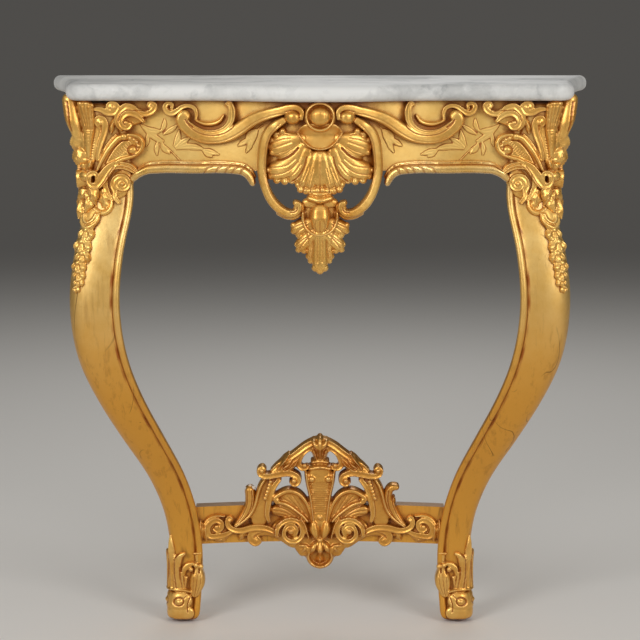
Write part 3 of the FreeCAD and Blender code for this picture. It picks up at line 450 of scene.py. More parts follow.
def left_copy(made, name):
    """A copy with its own mesh on the other side of the middle."""
    bpy.ops.object.select_all(action="DESELECT")
    made.select_set(True)
    bpy.context.view_layer.objects.active = made
    bpy.ops.object.duplicate()
    copy = bpy.context.view_layer.objects.active
    copy.name = name
    copy.data.name = name
    bpy.ops.transform.mirror(constraint_axis=(True, False, False))
    bpy.ops.object.transform_apply(location=True, rotation=True, scale=True)
    face_outwards()
    return copy


def fit(made, material, nodes, body="frame"):
    """Gives a piece its material, its body and the nodes that it stands for."""
    made.data.materials.clear()
    made.data.materials.append(material)
    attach(made, body)
    if nodes:
        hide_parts(*nodes)


def single(name, carrier, forms, material, nodes, **settings):
    """One carving with its material."""
    fit(carve(name, (carrier,), forms, **settings), material, nodes)


def both(name, carriers, forms, material, nodes, **settings):
    """A carving on the right and its mirrored copy on the left."""
    right = carve(name + "_right_carving", carriers, forms, **settings)
    left = left_copy(right, name + "_left_carving")
    fit(right, material, [node + "_right" for node in nodes])
    fit(left, material, [node + "_left" for node in nodes])


# Materials


def repeats(size):
    """How often a pattern of that size in millimetres fits into a metre."""
    return 1 / (size * MM)


def feed(tree, node, inputs):
    """Sets a node's inputs: a socket is linked, a node is linked by its first live output, a value is set."""
    for socket, value in inputs.items():
        if isinstance(value, bpy.types.Node):
            value = next(output for output in value.outputs if output.enabled)
        if isinstance(value, bpy.types.NodeSocket):
            tree.links.new(value, node.inputs[socket])
        else:
            node.inputs[socket].default_value = value


def add(tree, kind, inputs=None, **settings):
    """One node with its settings, its values and its links."""
    made = tree.nodes.new(kind)
    for name, value in settings.items():
        setattr(made, name, value)
    feed(tree, made, inputs or {})
    return made


def blank_material(name):
    """A material with its plain shader and the Object coordinates, or the one that was made before."""
    material = bpy.data.materials.get(name)
    if material:
        return material, None, None, None
    material = bpy.data.materials.new(name)
    material.use_nodes = True
    tree = material.node_tree
    shader = tree.nodes["Principled BSDF"]
    place = add(tree, "ShaderNodeTexCoord").outputs["Object"]
    return material, tree, shader, place


def handled(tree, place, gold, streaks):
    """Gold as hands and time leave it: worn in streaks, split in thin lines, dusty where it faces up."""
    colours = bpy.context.scene.pier_colours
    # Streaks 10 mm across and 95 mm long, down the leg
    stretched = add(tree, "ShaderNodeMapping", {"Vector": place, "Scale": (1.0, 1.0, 0.11)})
    scuffs = add(
        tree, "ShaderNodeTexNoise",
        {"Vector": stretched, "Scale": repeats(10.526), "Detail": 7.0, "Roughness": 0.66},
    )
    worn_through = add(
        tree, "ShaderNodeMapRange",
        {"Value": scuffs, "From Min": 0.53, "From Max": 0.72, "To Max": streaks},
    )
    gold = add(
        tree, "ShaderNodeMix", {"Factor": worn_through, "A": gold, "B": colours.rub}, data_type="RGBA",
    )
    # The wood has moved under the gesso and split it in a few long thin lines, about 50 mm apart
    split = add(tree, "ShaderNodeTexNoise", {"Vector": stretched, "Scale": repeats(47.619), "Detail": 1.0})
    off = add(tree, "ShaderNodeMath", {0: split, 1: 0.53}, operation="SUBTRACT")
    away = add(tree, "ShaderNodeMath", {0: off}, operation="ABSOLUTE")
    thin = add(
        tree, "ShaderNodeMapRange",
        {"Value": away, "From Min": 0.002, "From Max": 0.007, "To Min": 0.7, "To Max": 0.0},
    )
    patches = add(tree, "ShaderNodeTexNoise", {"Vector": place, "Scale": repeats(90.909)})
    some = add(tree, "ShaderNodeMapRange", {"Value": patches, "From Min": 0.54, "From Max": 0.6})
    lines = add(tree, "ShaderNodeMath", {0: thin, 1: some}, operation="MULTIPLY")
    gold = add(
        tree, "ShaderNodeMix", {"Factor": lines, "A": gold, "B": linear("#5E3410")}, data_type="RGBA",
    )
    normal = add(tree, "ShaderNodeNewGeometry").outputs["True Normal"]
    facing_up = add(tree, "ShaderNodeSeparateXYZ", {0: normal}).outputs["Z"]
    dusty = add(
        tree, "ShaderNodeMapRange", {"Value": facing_up, "From Min": 0.9, "From Max": 0.98, "To Max": 0.8},
    )
    return add(
        tree, "ShaderNodeMix", {"Factor": dusty, "A": gold, "B": linear("#A08A78")}, data_type="RGBA",
    )


def gilding(name, light, deep, rough, ridge_burnish_and_highlight=0.0, low=None, streaks=0.0):
    """Water gilding on gesso and bole: paler gold on the ridges, partly burnishing and partly painted
    highlight, and brown-red in the hollows and cuts, partly bole and dirt and partly painted shade.
    """
    material, tree, shader, place = blank_material(name)
    if tree is None:
        return material
    colours = bpy.context.scene.pier_colours
    # Leaves of gold differ a little in tone every 60 mm or so
    cloud = add(
        tree, "ShaderNodeTexNoise",
        {"Vector": place, "Scale": repeats(62.5), "Detail": 8.0, "Roughness": 0.68},
    )
    tone = add(tree, "ShaderNodeMapRange", {"Value": cloud, "From Min": 0.33, "From Max": 0.66})
    gold = add(
        tree, "ShaderNodeMix", {"Factor": tone, "A": linear(deep), "B": linear(light)}, data_type="RGBA",
    )
    if low:
        # Painted shade: the gold turns darker and warmer towards the floor, where less light falls
        height = add(tree, "ShaderNodeSeparateXYZ", {0: place}).outputs["Z"]
        share = add(
            tree, "ShaderNodeMapRange", {"Value": height, "From Min": 0.62, "From Max": 0.36},
            interpolation_type="SMOOTHSTEP",
        )
        gold = add(
            tree, "ShaderNodeMix", {"Factor": share, "A": gold, "B": linear(low)}, data_type="RGBA",
        )
    # Ridges are paler: partly real burnishing, partly a painted highlight on the sharp edges
    sharp = add(tree, "ShaderNodeNewGeometry").outputs["Pointiness"]
    burnish_and_highlight = add(
        tree, "ShaderNodeMapRange", {"Value": sharp, "From Min": 0.515, "From Max": 0.6, "To Max": ridge_burnish_and_highlight},
    )
    burnished_and_highlit = add(
        tree, "ShaderNodeMix", {"Factor": burnish_and_highlight, "A": gold, "B": linear("#FBE3A6")}, data_type="RGBA",
    )
    # Hollows and knife cuts turn to the bole colour: partly dirt and bole, partly painted shade from the
    # occlusion, broken up in grains of about 8 mm
    shade = add(tree, "ShaderNodeAmbientOcclusion", {"Distance": 12 * MM}, samples=8)
    grime = add(
        tree, "ShaderNodeTexNoise",
        {"Vector": place, "Scale": repeats(7.692), "Detail": 5.0, "Roughness": 0.65},
    )
    mixed = add(
        tree, "ShaderNodeMath", {0: grime, 1: 0.34, 2: shade.outputs["AO"]}, operation="MULTIPLY_ADD",
    )
    hollow = add(
        tree, "ShaderNodeMapRange", {"Value": mixed, "From Min": 1.05, "From Max": 0.46},
        interpolation_type="SMOOTHSTEP",
    )
    cut = add(tree, "ShaderNodeAttribute", attribute_name="hollow").outputs["Fac"]
    painted_shade_and_bole = add(tree, "ShaderNodeMath", {0: hollow, 1: cut}, operation="MAXIMUM")
    # Painted shade, with dirt and bole, laid over the gold in the hollows and cuts
    stained = add(
        tree, "ShaderNodeMix", {"Factor": painted_shade_and_bole, "A": burnished_and_highlit, "B": colours.bole}, data_type="RGBA",
    )
    # Small rubs and pits, about 5 mm apart, where the gold has gone
    pits = add(
        tree, "ShaderNodeTexNoise",
        {"Vector": place, "Scale": repeats(4.7619), "Detail": 6.0, "Roughness": 0.7},
    )
    rub = add(tree, "ShaderNodeMapRange", {"Value": pits, "From Min": 0.66, "From Max": 0.73})
    worn = add(tree, "ShaderNodeMix", {"Factor": rub, "A": stained, "B": colours.rub}, data_type="RGBA")
    if streaks:
        worn = handled(tree, place, worn, streaks)
    lost = add(tree, "ShaderNodeMath", {0: painted_shade_and_bole, 1: rub}, operation="MAXIMUM")
    metal = add(tree, "ShaderNodeMapRange", {"Value": lost, "To Min": 0.72, "To Max": 0.15})
    dull = add(tree, "ShaderNodeMapRange", {"Value": grime, "To Min": rough - 0.1, "To Max": rough + 0.14})
    # Gesso is never quite flat: it has waves about 60 mm apart and knife marks about 8 mm apart
    waves = add(tree, "ShaderNodeBump", {"Height": cloud, "Strength": 0.12, "Distance": 4 * MM})
    fine = add(
        tree, "ShaderNodeBump", {"Height": grime, "Strength": 0.16, "Distance": 1.2 * MM, "Normal": waves},
    )
    # Old wax gives the highlights a paler glint than the gold under it
    feed(tree, shader, {
        "Base Color": worn, "Metallic": metal, "Roughness": dull, "Normal": fine,
        "Specular IOR Level": 0.25, "Coat Weight": 0.25, "Coat Roughness": 0.25,
    })
    return material


def honed_marble():
    """Honed white marble: a soft even sheen, grey clouds and a few thin veins under the surface."""
    material, tree, shader, place = blank_material("honed_white_marble")
    if tree is None:
        return material
    colours = bpy.context.scene.pier_colours
    # The stone has flowed: clouds 140 mm across and veins 150 mm apart are drawn out of line by 200 mm waves
    drift = add(
        tree, "ShaderNodeTexNoise",
        {"Vector": place, "Scale": repeats(200), "Detail": 6.0, "Roughness": 0.62},
    )
    moved = add(
        tree, "ShaderNodeVectorMath", {0: drift.outputs["Color"], 1: (0.22, 0.22, 0.22), 2: place},
        operation="MULTIPLY_ADD",
    )
    cloud = add(
        tree, "ShaderNodeTexNoise",
        {"Vector": moved, "Scale": repeats(142.857), "Detail": 7.0, "Roughness": 0.6},
    )
    clouded = add(tree, "ShaderNodeMapRange", {"Value": cloud, "From Min": 0.46, "From Max": 0.68})
    base = add(
        tree, "ShaderNodeMix", {"Factor": clouded, "A": colours.marble, "B": colours.marble_cloud},
        data_type="RGBA",
    )
    lines = add(
        tree, "ShaderNodeTexVoronoi", {"Vector": moved, "Scale": repeats(153.846)},
        feature="DISTANCE_TO_EDGE",
    )
    vein = add(
        tree, "ShaderNodeMapRange", {"Value": lines, "From Max": 0.035, "To Min": 0.55, "To Max": 0.0},
    )
    patchy = add(tree, "ShaderNodeMath", {0: vein, 1: clouded}, operation="MULTIPLY")
    veined = add(
        tree, "ShaderNodeMix", {"Factor": patchy, "A": base, "B": colours.vein}, data_type="RGBA",
    )
    sheen = add(tree, "ShaderNodeMapRange", {"Value": cloud, "To Min": 0.42, "To Max": 0.54})
    feed(tree, shader, {
        "Base Color": veined, "Roughness": sheen, "Specular IOR Level": 0.35,
        "Subsurface Weight": 0.08, "Subsurface Radius": (6 * MM, 5 * MM, 4 * MM),
    })
    return material


def washed_wood():
    """Pine with an ochre wash, as left on faces that were never gilded: dull, with grain and brush lines."""
    material, tree, shader, place = blank_material("ochre_washed_pine")
    if tree is None:
        return material
    colours = bpy.context.scene.pier_colours
    # Grain 4 mm apart, drawn out ten times as long along the boards
    stretch = add(tree, "ShaderNodeMapping", {"Vector": place, "Scale": (0.1, 1.0, 1.0)})
    grain = add(
        tree, "ShaderNodeTexNoise",
        {"Vector": stretch, "Scale": repeats(4.16667), "Detail": 7.0, "Roughness": 0.7},
    )
    stained = add(
        tree, "ShaderNodeMix", {"Factor": grain, "A": colours.wood_dark, "B": colours.wood}, data_type="RGBA",
    )
    bump = add(tree, "ShaderNodeBump", {"Height": grain, "Strength": 0.3, "Distance": 1 * MM})
    feed(tree, shader, {"Base Color": stained, "Normal": bump, "Roughness": 0.72})
    return material


def old_steel():
    """Old turned steel screw heads: dark grey metal with brown oxide in patches of about 3 mm."""
    material, tree, shader, place = blank_material("oxidised_steel")
    if tree is None:
        return material
    rust = add(tree, "ShaderNodeTexNoise", {"Vector": place, "Scale": repeats(3.3333), "Detail": 5.0})
    skin = add(
        tree, "ShaderNodeMix",
        {"Factor": rust, "A": linear("#5A544D"), "B": linear("#6B4A33")}, data_type="RGBA",
    )
    feed(tree, shader, {"Base Color": skin, "Metallic": 0.8, "Roughness": 0.5})
    return material


def gesso():
    """Broken gesso: chalk white and dull, with crumbs of about 2 mm."""
    material, tree, shader, place = blank_material("broken_gesso")
    if tree is None:
        return material
    crumbs = add(tree, "ShaderNodeTexNoise", {"Vector": place, "Scale": repeats(2), "Detail": 5.0})
    chalk = add(
        tree, "ShaderNodeMix",
        {"Factor": crumbs, "A": linear("#B9AE9A"), "B": linear("#F4F1EA")}, data_type="RGBA",
    )
    bump = add(tree, "ShaderNodeBump", {"Height": crumbs, "Strength": 0.6, "Distance": 1 * MM})
    feed(tree, shader, {"Base Color": chalk, "Normal": bump, "Roughness": 0.9})
    return material


def punched_bole_and_shade():
    """Dirt, bole and painted shade in the punched outlines of the leaf sprays: dull red-brown, with 6 mm
    specks of gold.
    """
    material, tree, shader, place = blank_material("bole_and_shade_in_punched_lines")
    if tree is None:
        return material
    colours = bpy.context.scene.pier_colours
    specks = add(tree, "ShaderNodeTexNoise", {"Vector": place, "Scale": repeats(6.25), "Detail": 4.0})
    left = add(tree, "ShaderNodeMapRange", {"Value": specks, "From Min": 0.42, "From Max": 0.7})
    filled = add(
        tree, "ShaderNodeMix", {"Factor": left, "A": colours.bole, "B": linear("#C99A4C")}, data_type="RGBA",
    )
    feed(tree, shader, {"Base Color": filled, "Roughness": 0.65})
    return material


def ground_gold():
    """Matt gilding of the plain grounds, paler and flatter than the carving."""
    return gilding("matt_water_gilding", "#EEC776", "#DDAD57", 0.42)


def leg_gold():
    """Rubbed gilding of the legs and the stretcher, darkened towards the floor as painted shade."""
    # The low colour is painted shade near the floor
    return gilding("rubbed_water_gilding", "#E6C27A", "#D2A656", 0.4, low="#DFA03E", streaks=0.42)


def carved_gold():
    """Burnished gilding of the carving."""
    return gilding("burnished_water_gilding", "#EEC069", "#D4943A", 0.31, ridge_burnish_and_highlight=0.5)


def bright_gold():
    """The palest burnished gold, on the moulding that is dusted most."""
    return gilding("polished_water_gilding", "#F2CE88", "#DDA950", 0.27, ridge_burnish_and_highlight=0.3)


def low_shaded_gold():
    """Gilding of the crest and the stretcher's scrolls, darker and browner as painted shade, since they stand
    low.
    """
    return gilding("low_shaded_water_gilding", "#E2AA50", "#C07C2A", 0.32, ridge_burnish_and_highlight=0.5)


# Settings

COLOUR = {"subtype": "COLOR", "size": 4, "min": 0, "max": 1}


class PierTableColours(bpy.types.PropertyGroup):
    """Colours that a user would change."""

    # The bole colour is also painted shade in the hollows and cuts of the gilding
    bole: bpy.props.FloatVectorProperty(
        name="Bole", description="Red-brown clay and dirt that shows in the hollows",
        default=linear("#98520C"), **COLOUR,
    )
    rub: bpy.props.FloatVectorProperty(
        name="Rub", description="Where the gold is rubbed through",
        default=linear("#8A561E"), **COLOUR,
    )
    marble: bpy.props.FloatVectorProperty(
        name="Marble", description="White of the marble",
        default=linear("#DDDCD8"), **COLOUR,
    )
    marble_cloud: bpy.props.FloatVectorProperty(
        name="Marble clouds", description="Grey clouds in the marble",
        default=linear("#AFAFAC"), **COLOUR,
    )
    vein: bpy.props.FloatVectorProperty(
        name="Veins", description="Thin grey veins in the marble",
        default=linear("#7C7D7E"), **COLOUR,
    )
    wood: bpy.props.FloatVectorProperty(
        name="Washed wood", description="Ochre wash on the faces that were never gilded",
        default=linear("#B98A4E"), **COLOUR,
    )
    wood_dark: bpy.props.FloatVectorProperty(
        name="Wood grain", description="Dark grain under the ochre wash",
        default=linear("#7E5528"), **COLOUR,
    )
    floor: bpy.props.FloatVectorProperty(
        name="Floor", description="Pale paint of the studio floor",
        default=linear("#E0DDD8"), **COLOUR,
    )
    # Painted shade: the floor's colour far from the table, for the dim end of the room
    far_floor_painted_shade: bpy.props.FloatVectorProperty(
        name="Far floor", description="The same floor where the room is dim",
        default=linear("#7A7875"), **COLOUR,
    )
    surround: bpy.props.FloatVectorProperty(
        name="Surround", description="Colour of the soft light all round",
        default=linear("#EEEDEB"), **COLOUR,
    )


class PierTableSizes(bpy.types.PropertyGroup):
    """Sizes that a user would change."""

    edge_round: bpy.props.FloatProperty(
        name="Marble edge", description="Radius of the marble's rounded edge",
        default=11 * MM, min=1 * MM, max=12 * MM, unit="LENGTH",
    )
    ring_relief: bpy.props.FloatProperty(
        name="Ring relief", description="How far the ring of scrolls stands out",
        default=19 * MM, min=5 * MM, max=25 * MM, unit="LENGTH",
    )
    scroll_relief: bpy.props.FloatProperty(
        name="Scroll relief", description="How far the large frieze scrolls stand out",
        default=15 * MM, min=5 * MM, max=20 * MM, unit="LENGTH",
    )
    fine_relief: bpy.props.FloatProperty(
        name="Fine relief", description="How far the small frieze scrolls stand out",
        default=9 * MM, min=3 * MM, max=15 * MM, unit="LENGTH",
    )


# Pieces


class PIER_OT_marble(bpy.types.Operator):
    """The marble slab with its swelling front, hollow sides and rounded edge"""

    bl_idname = "pier_table.marble"
    bl_label = "Marble top"

    def execute(self, context):
        sizes = context.scene.pier_sizes
        corner_x = HALF_FRONT - CORNER_RADIUS
        corner_y = STRAIGHT_FRONT + CORNER_RADIUS
        front_steps = 60
        corner_steps = 9
        side_steps = 30
        right = [(x, float(swelling(np.array(x), 0.0))) for x in np.linspace(0, corner_x, front_steps)]
        for step in range(1, corner_steps):
            turn = math.radians(90 * step / corner_steps)
            right.append((
                corner_x + CORNER_RADIUS * math.sin(turn), corner_y - CORNER_RADIUS * math.cos(turn),
            ))
        for y in np.linspace(SIDE_START_Y, BACK_Y, side_steps):
            share = (y - SIDE_START_Y) / (BACK_Y - SIDE_START_Y)
            right.append((HALF_FRONT + (HALF_BACK - HALF_FRONT) * share**SIDE_HOLLOW, y))
        outline = right + [(-x, y) for x, y in right[:0:-1]]
        points = [(x * MM, y * MM, FRAME_TOP * MM) for x, y in outline]
        made = new_mesh_object("marble_slab", points, [tuple(range(len(points)))[::-1]])
        bpy.ops.object.mode_set(mode="EDIT")
        bpy.ops.mesh.select_mode(type="EDGE")
        bpy.ops.mesh.select_all(action="SELECT")
        rise = (0, 0, (MARBLE_TOP - FRAME_TOP) * MM)
        bpy.ops.mesh.extrude_region_move(TRANSFORM_OT_translate={"value": rise})
        bpy.ops.mesh.select_all(action="SELECT")
        bpy.ops.mesh.normals_make_consistent(inside=False)
        # The edges along the wall stay sharp
        near_wall = (BACK_Y - 0.5) * MM
        shape = bmesh.from_edit_mesh(made.data)
        for edge in shape.edges:
            start = edge.verts[0].co
            end = edge.verts[1].co
            level = abs(start.z - end.z) < 1e-6
            edge.select_set(level and min(start.y, end.y) <= near_wall)
        bmesh.update_edit_mesh(made.data)
        bpy.ops.mesh.bevel(
            offset=sizes.edge_round, segments=7, profile=0.5, affect="EDGES", clamp_overlap=False,
        )
        bpy.ops.object.mode_set(mode="OBJECT")
        bpy.ops.object.shade_smooth_by_angle(angle=math.radians(40))
        fit(made, honed_marble(), ["marble_top"], "marble")
        return {"FINISHED"}


def leg_ring(station):
    """The section of the right leg at a station, with its two beads and its rounded arris."""
    z, outer_inset, inner_inset, set_back = station
    outer = HALF_FRONT - outer_inset + LEG_FULLNESS
    inner = HALF_FRONT - inner_inset - LEG_FULLNESS
    front = DIAGONAL - outer + set_back
    back = DIAGONAL - inner + set_back
    arris = ARRIS_SHARE * (outer - inner)
    ring = [(inner + a, front + b) for a, b in BEAD]
    ring += [
        ((inner + BEAD_WIDTH + outer - arris) / 2, front + FACE_SINK),
        (outer - arris - ARRIS_LEAD, front + FACE_SINK),
        (outer - ARRIS_MIDDLE * arris, front + ARRIS_MIDDLE * arris),
        (outer - FACE_SINK, front + arris + ARRIS_LEAD),
        (outer - FACE_SINK, (back - BEAD_WIDTH + front + arris) / 2),
    ]
    ring += [(outer - b, back - a) for a, b in BEAD[::-1]]
    ring.append((inner + BEAD_DEPTH, back))
    return [(x * MM, y * MM, z * MM) for x, y in ring]


class PIER_OT_legs(bpy.types.Operator):
    """The two cabriole legs, square in section with a bead along each inner edge"""

    bl_idname = "pier_table.legs"
    bl_label = "Legs"

    def execute(self, context):
        ring_spacing = 24.0
        # Places in a ring of the grooves beside the two beads
        grooves = (4, 12)
        groove_sharpness = 0.9
        rings = [leg_ring(station) for station in through(LEG_STATIONS[::-1], ring_spacing)]
        made = new_mesh_object("leg_right_shaft", rings[0], [tuple(range(len(rings[0])))[::-1]])
        bpy.ops.object.mode_set(mode="EDIT")
        bmesh.from_edit_mesh(made.data).edges.layers.float.new("crease_edge")
        for lower, upper in zip(rings, rings[1:]):
            rise = (0, 0, upper[0][2] - lower[0][2])
            bpy.ops.mesh.extrude_region_move(TRANSFORM_OT_translate={"value": rise})
            shape = bmesh.from_edit_mesh(made.data)
            crease = shape.edges.layers.float["crease_edge"]
            for corner in [v for v in shape.verts if v.select]:
                gaps = [(corner.co.x - x) ** 2 + (corner.co.y - y) ** 2 for x, y, _ in lower]
                place = gaps.index(min(gaps))
                corner.co = upper[place]
                if place in grooves:
                    for edge in corner.link_edges:
                        if not edge.select:
                            edge[crease] = groove_sharpness
            bmesh.update_edit_mesh(made.data)
        bpy.ops.mesh.select_all(action="SELECT")
        bpy.ops.mesh.normals_make_consistent(inside=False)
        bpy.ops.object.mode_set(mode="OBJECT")
        apply_modifier(made, "SUBSURF", levels=2, render_levels=2)
        bpy.ops.object.shade_smooth_by_angle(angle=math.radians(50))
        spots = np.empty(len(made.data.vertices) * 3)
        made.data.vertices.foreach_get("co", spots)
        spots = spots.reshape(-1, 3) / MM
        # Painted shade and dirt darken the grooves, thick in one place and thin in the next
        groove = 9.4
        half_groove = 2.4
        across, back, up = spots.T
        outer, inner, front = leg_at(up)
        coming = 0.5 + 0.35 * np.sin(up / 17.0) + 0.35 * np.sin(up / 6.1 + 1.3)
        near = np.minimum(
            np.abs(across - inner - groove) + half_groove * (back > front + BEAD_DEPTH),
            np.abs(back - (DIAGONAL - inner) + groove) + half_groove * (across < outer - BEAD_DEPTH),
        )
        groove_shade_and_dirt = np.where(near < half_groove, np.clip(coming, 0, 1), 0.0)
        made.data.attributes.new("hollow", "FLOAT", "POINT").data.foreach_set("value", groove_shade_and_dirt)
        left = left_copy(made, "leg_left_shaft")
        fit(made, leg_gold(), ["leg_right"])
        fit(left, leg_gold(), ["leg_left"])
        return {"FINISHED"}


class PIER_OT_boards(bpy.types.Operator):
    """Finishes of the boards, blocks, pegs and screws that keep their CAD shape"""

    bl_idname = "pier_table.boards"
    bl_label = "Boards and fixings"

    def execute(self, context):
        finishes = {
            ground_gold: ("front_apron", "side_apron_left", "side_apron_right"),
            leg_gold: ("stretcher",),
            washed_wood: ("back_rail", "bearer", "glue_blocks", "tenon_pegs"),
            old_steel: ("block_screws",),
        }
        for finish, names in finishes.items():
            for name in names:
                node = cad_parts[name]
                node.data.materials.clear()
                node.data.materials.append(finish())
        return {"FINISHED"}


class PIER_OT_frieze(bpy.types.Operator):
    """The scrolls, mouldings and leaf sprays on the front apron"""

    bl_idname = "pier_table.frieze"
    bl_label = "Frieze carving"

    def execute(self, context):
        sizes = context.scene.pier_sizes
        # The ring round the shell: two scrolls that curl in under it
        ring_relief = sizes.ring_relief / MM
        ring = band([
            (55, 28, 5, 0.8), (66, 35, 6.4), (77, 45, 6.8), (83, 58, 7), (86, 74, 7), (87.5, 90, 6.8),
            (87.5, 104, 6.6), (85.5, 118, 6.6), (81.5, 131, 6.6), (76, 143, 6.8), (68, 154, 7),
            (58, 162.5, 6.6), (47, 167, 5.8), (38, 166, 5.2), (32, 160, 4.6), (32, 153, 4.2), (37, 151, 3.6),
        ], ring_relief, "flat", sink=6)
        step = band([
            (62, 167, 4), (50, 172, 4.4), (38, 172, 4.4), (29, 165, 4), (27, 156, 3.4),
        ], ring_relief - 7, "full")
        heart = ball(35, 158, 5, ring_relief - 4, (1, 1, 0.6))
        grooves = [
            ([(60, 33), (74, 48), (79, 60), (81.5, 75), (83, 90), (83, 104), (81, 117), (77, 129), (71, 141),
              (63, 151), (54, 158), (46, 161)], 1.3, 1.0),
            ([(44, 165), (36, 163), (34, 157)], 1.2, 1.6),
        ]
        both("ring_scroll", (on_apron,), [ring, step, heart], carved_gold(), ["ring_scroll"], cuts=grooves)
        # The large scrolls beside the boss, each with a rim over its outer end
        relief = sizes.scroll_relief / MM
        scroll = band([
            (27.5, 25, 2.4), (27.5, 15, 3.8), (34, 9, 4.6), (46, 9.5, 6.2), (60, 14, 7.4), (75, 18, 8.4),
            (90, 23, 8.9), (100, 27.5, 9.3), (110, 33.5, 9.6), (120, 41, 9.9), (130, 47.5, 9.8),
            (145, 54.5, 8.6), (160, 57, 8.2), (175, 56, 8.6), (188, 51, 9), (198, 44, 9.2), (206, 35, 9.2),
            (208, 27, 9.4), (205, 23.5, 9),
        ], relief, "flat")
        eye = band([(40, 23.5, 10.6), (42, 23.5, 10.6)], relief + 5, "full")
        rim = band([
            (141, 6, 2.6), (137, 3, 3.6), (134, 9, 4.8), (133, 20, 5.4), (135, 31, 5), (142, 40, 4),
            (152, 45.5, 3), (165, 47.5, 2.6), (178, 45.5, 2.4), (190, 39.5, 2.2), (201, 31, 1.4),
        ], relief + 1.5, "ribbon")
        edges = [
            ([
                (52, 17), (64, 19), (78, 23), (92, 28), (104, 35), (116, 44), (128, 52), (144, 59.5),
                (160, 62), (176, 61), (192, 55),
            ], 1.2, 0.8),
            ([(31, 24), (32, 16), (40, 12.5), (52, 15)], 1.0, 2.0),
            ([(203, 29), (199, 34), (192, 40)], 1.4, 2.4),
            ([
                (128, 32), (131, 39), (138, 45), (148, 50), (165, 52), (180, 49.5), (193, 42), (202, 32),
            ], 1.1, 1.6),
        ]
        both("s_scroll", (on_apron,), [scroll, eye, rim], carved_gold(), ["s_scroll"], cuts=edges)
        # Small waves towards the corners
        fine = sizes.fine_relief / MM
        wave = band([
            (224, 11, 2.4), (224, 5.5, 3), (230, 4.5, 3.6), (234, 10, 4.2), (231, 17, 4.4), (223, 19.5, 4.2),
            (215, 15, 3.8), (207, 9.5, 3.4), (198, 8, 3), (190, 12, 2.6), (187, 20, 2.2), (188, 29, 1.6),
        ], fine, "ribbon")
        tongue = band([
            (146, 23, 2), (152, 31, 3.2), (163, 35.5, 3.6), (175, 35.5, 3.4), (187, 31, 2),
        ], fine - 2, "round")
        both("inner_scroll", (on_apron,), [wave, tongue], carved_gold(), ["inner_scroll"],
             cuts=[([(226, 9), (229, 8), (230, 12), (226, 15)], 1.2, 2.0)])
        # The moulding along the lower edge, wrapped in leaf at its inner end
        moulding = band([
            (284, 118, 5, 0.8), (276, 111, 6), (263, 105, 6.6), (248, 103.5, 6.8), (190, 103.5, 6.8),
            (132, 103.5, 6.8), (119, 105, 6.8), (109, 110.5, 6.4), (104, 118, 5.6), (102, 123, 4.6),
        ], 14, "full")
        fillet = band([
            (275, 103, 1.4), (262, 96, 1.7), (248, 94, 1.7), (190, 94, 1.7), (130, 94, 1.7), (116, 96, 1.7),
            (104, 104, 1.7), (98, 114, 1.4),
        ], 4, "round")
        hollows = []
        for along, lean in ((112, 9), (123, 11), (136, 8), (149, 10), (163, 13)):
            hollows.append(([(along, 98.5), (along + 0.6 * lean, 103), (along + lean, 110)], 2.0, 1.1))
        hollows.append((
            [(276, 106), (263, 99), (248, 97.4), (190, 97.4), (130, 97.4), (116, 99.5), (106, 105)], 1.3, 1.8,
        ))
        both(
            "apron_moulding", (on_apron,), [moulding, fillet], bright_gold(), ["apron_moulding"],
            cuts=hollows,
        )
        # Small scrolls at the top of each knee
        corner = [
            band([
                (259, 8, 2.4), (256, 3.6, 3), (250, 6, 3.6), (250, 13, 4), (256, 18, 4.2), (265, 20, 4.2),
                (275, 17, 4.4), (284, 10.5, 5), (293, 9, 5.2), (301, 16, 4.8), (306, 26, 4.4),
                (305, 36, 3.8), (299, 44, 2.4),
            ], fine + 1, "ribbon"),
            band([
                (267, 31, 2.2), (273, 24.5, 3.8), (282, 19.5, 4.8), (292, 19.5, 5), (299, 25, 5),
                (301, 33, 4.8), (297, 40, 4.2), (290, 41, 3.4), (286, 36, 3),
            ], fine + 3, "ribbon"),
            band([
                (342, 13, 1.6), (330, 14, 4), (320, 18.5, 4.6), (310, 17.5, 4.6), (305.5, 10.5, 4.2),
                (310.5, 4.5, 3.8), (318, 5.5, 3.4), (320, 11, 3), (316, 14, 2.6),
            ], fine + 1, "ribbon"),
            leaf([(309, 26, 1.6), (314, 37, 4.4), (316, 51, 1.6)], fine - 2, lobes=2, notch=0.08),
            *pearls((293, 33.5, 4.6, fine - 2), (313.5, 10.5, 4, fine - 3), (257, 10, 3, fine - 3)),
            band([(276, 27, 8), (292, 29, 10), (306, 20, 8)], 4, "full"),
        ]
        both("corner_scroll", (on_knee,), corner, carved_gold(), ["corner_scroll"], cuts=[
            ([(262, 16.5), (272, 15), (282, 15), (292, 14.5), (301, 21), (304, 31)], 1.0, 1.6),
            ([(290, 31), (294, 29.5), (297, 33), (294, 37.5)], 1.0, 1.8),
        ])
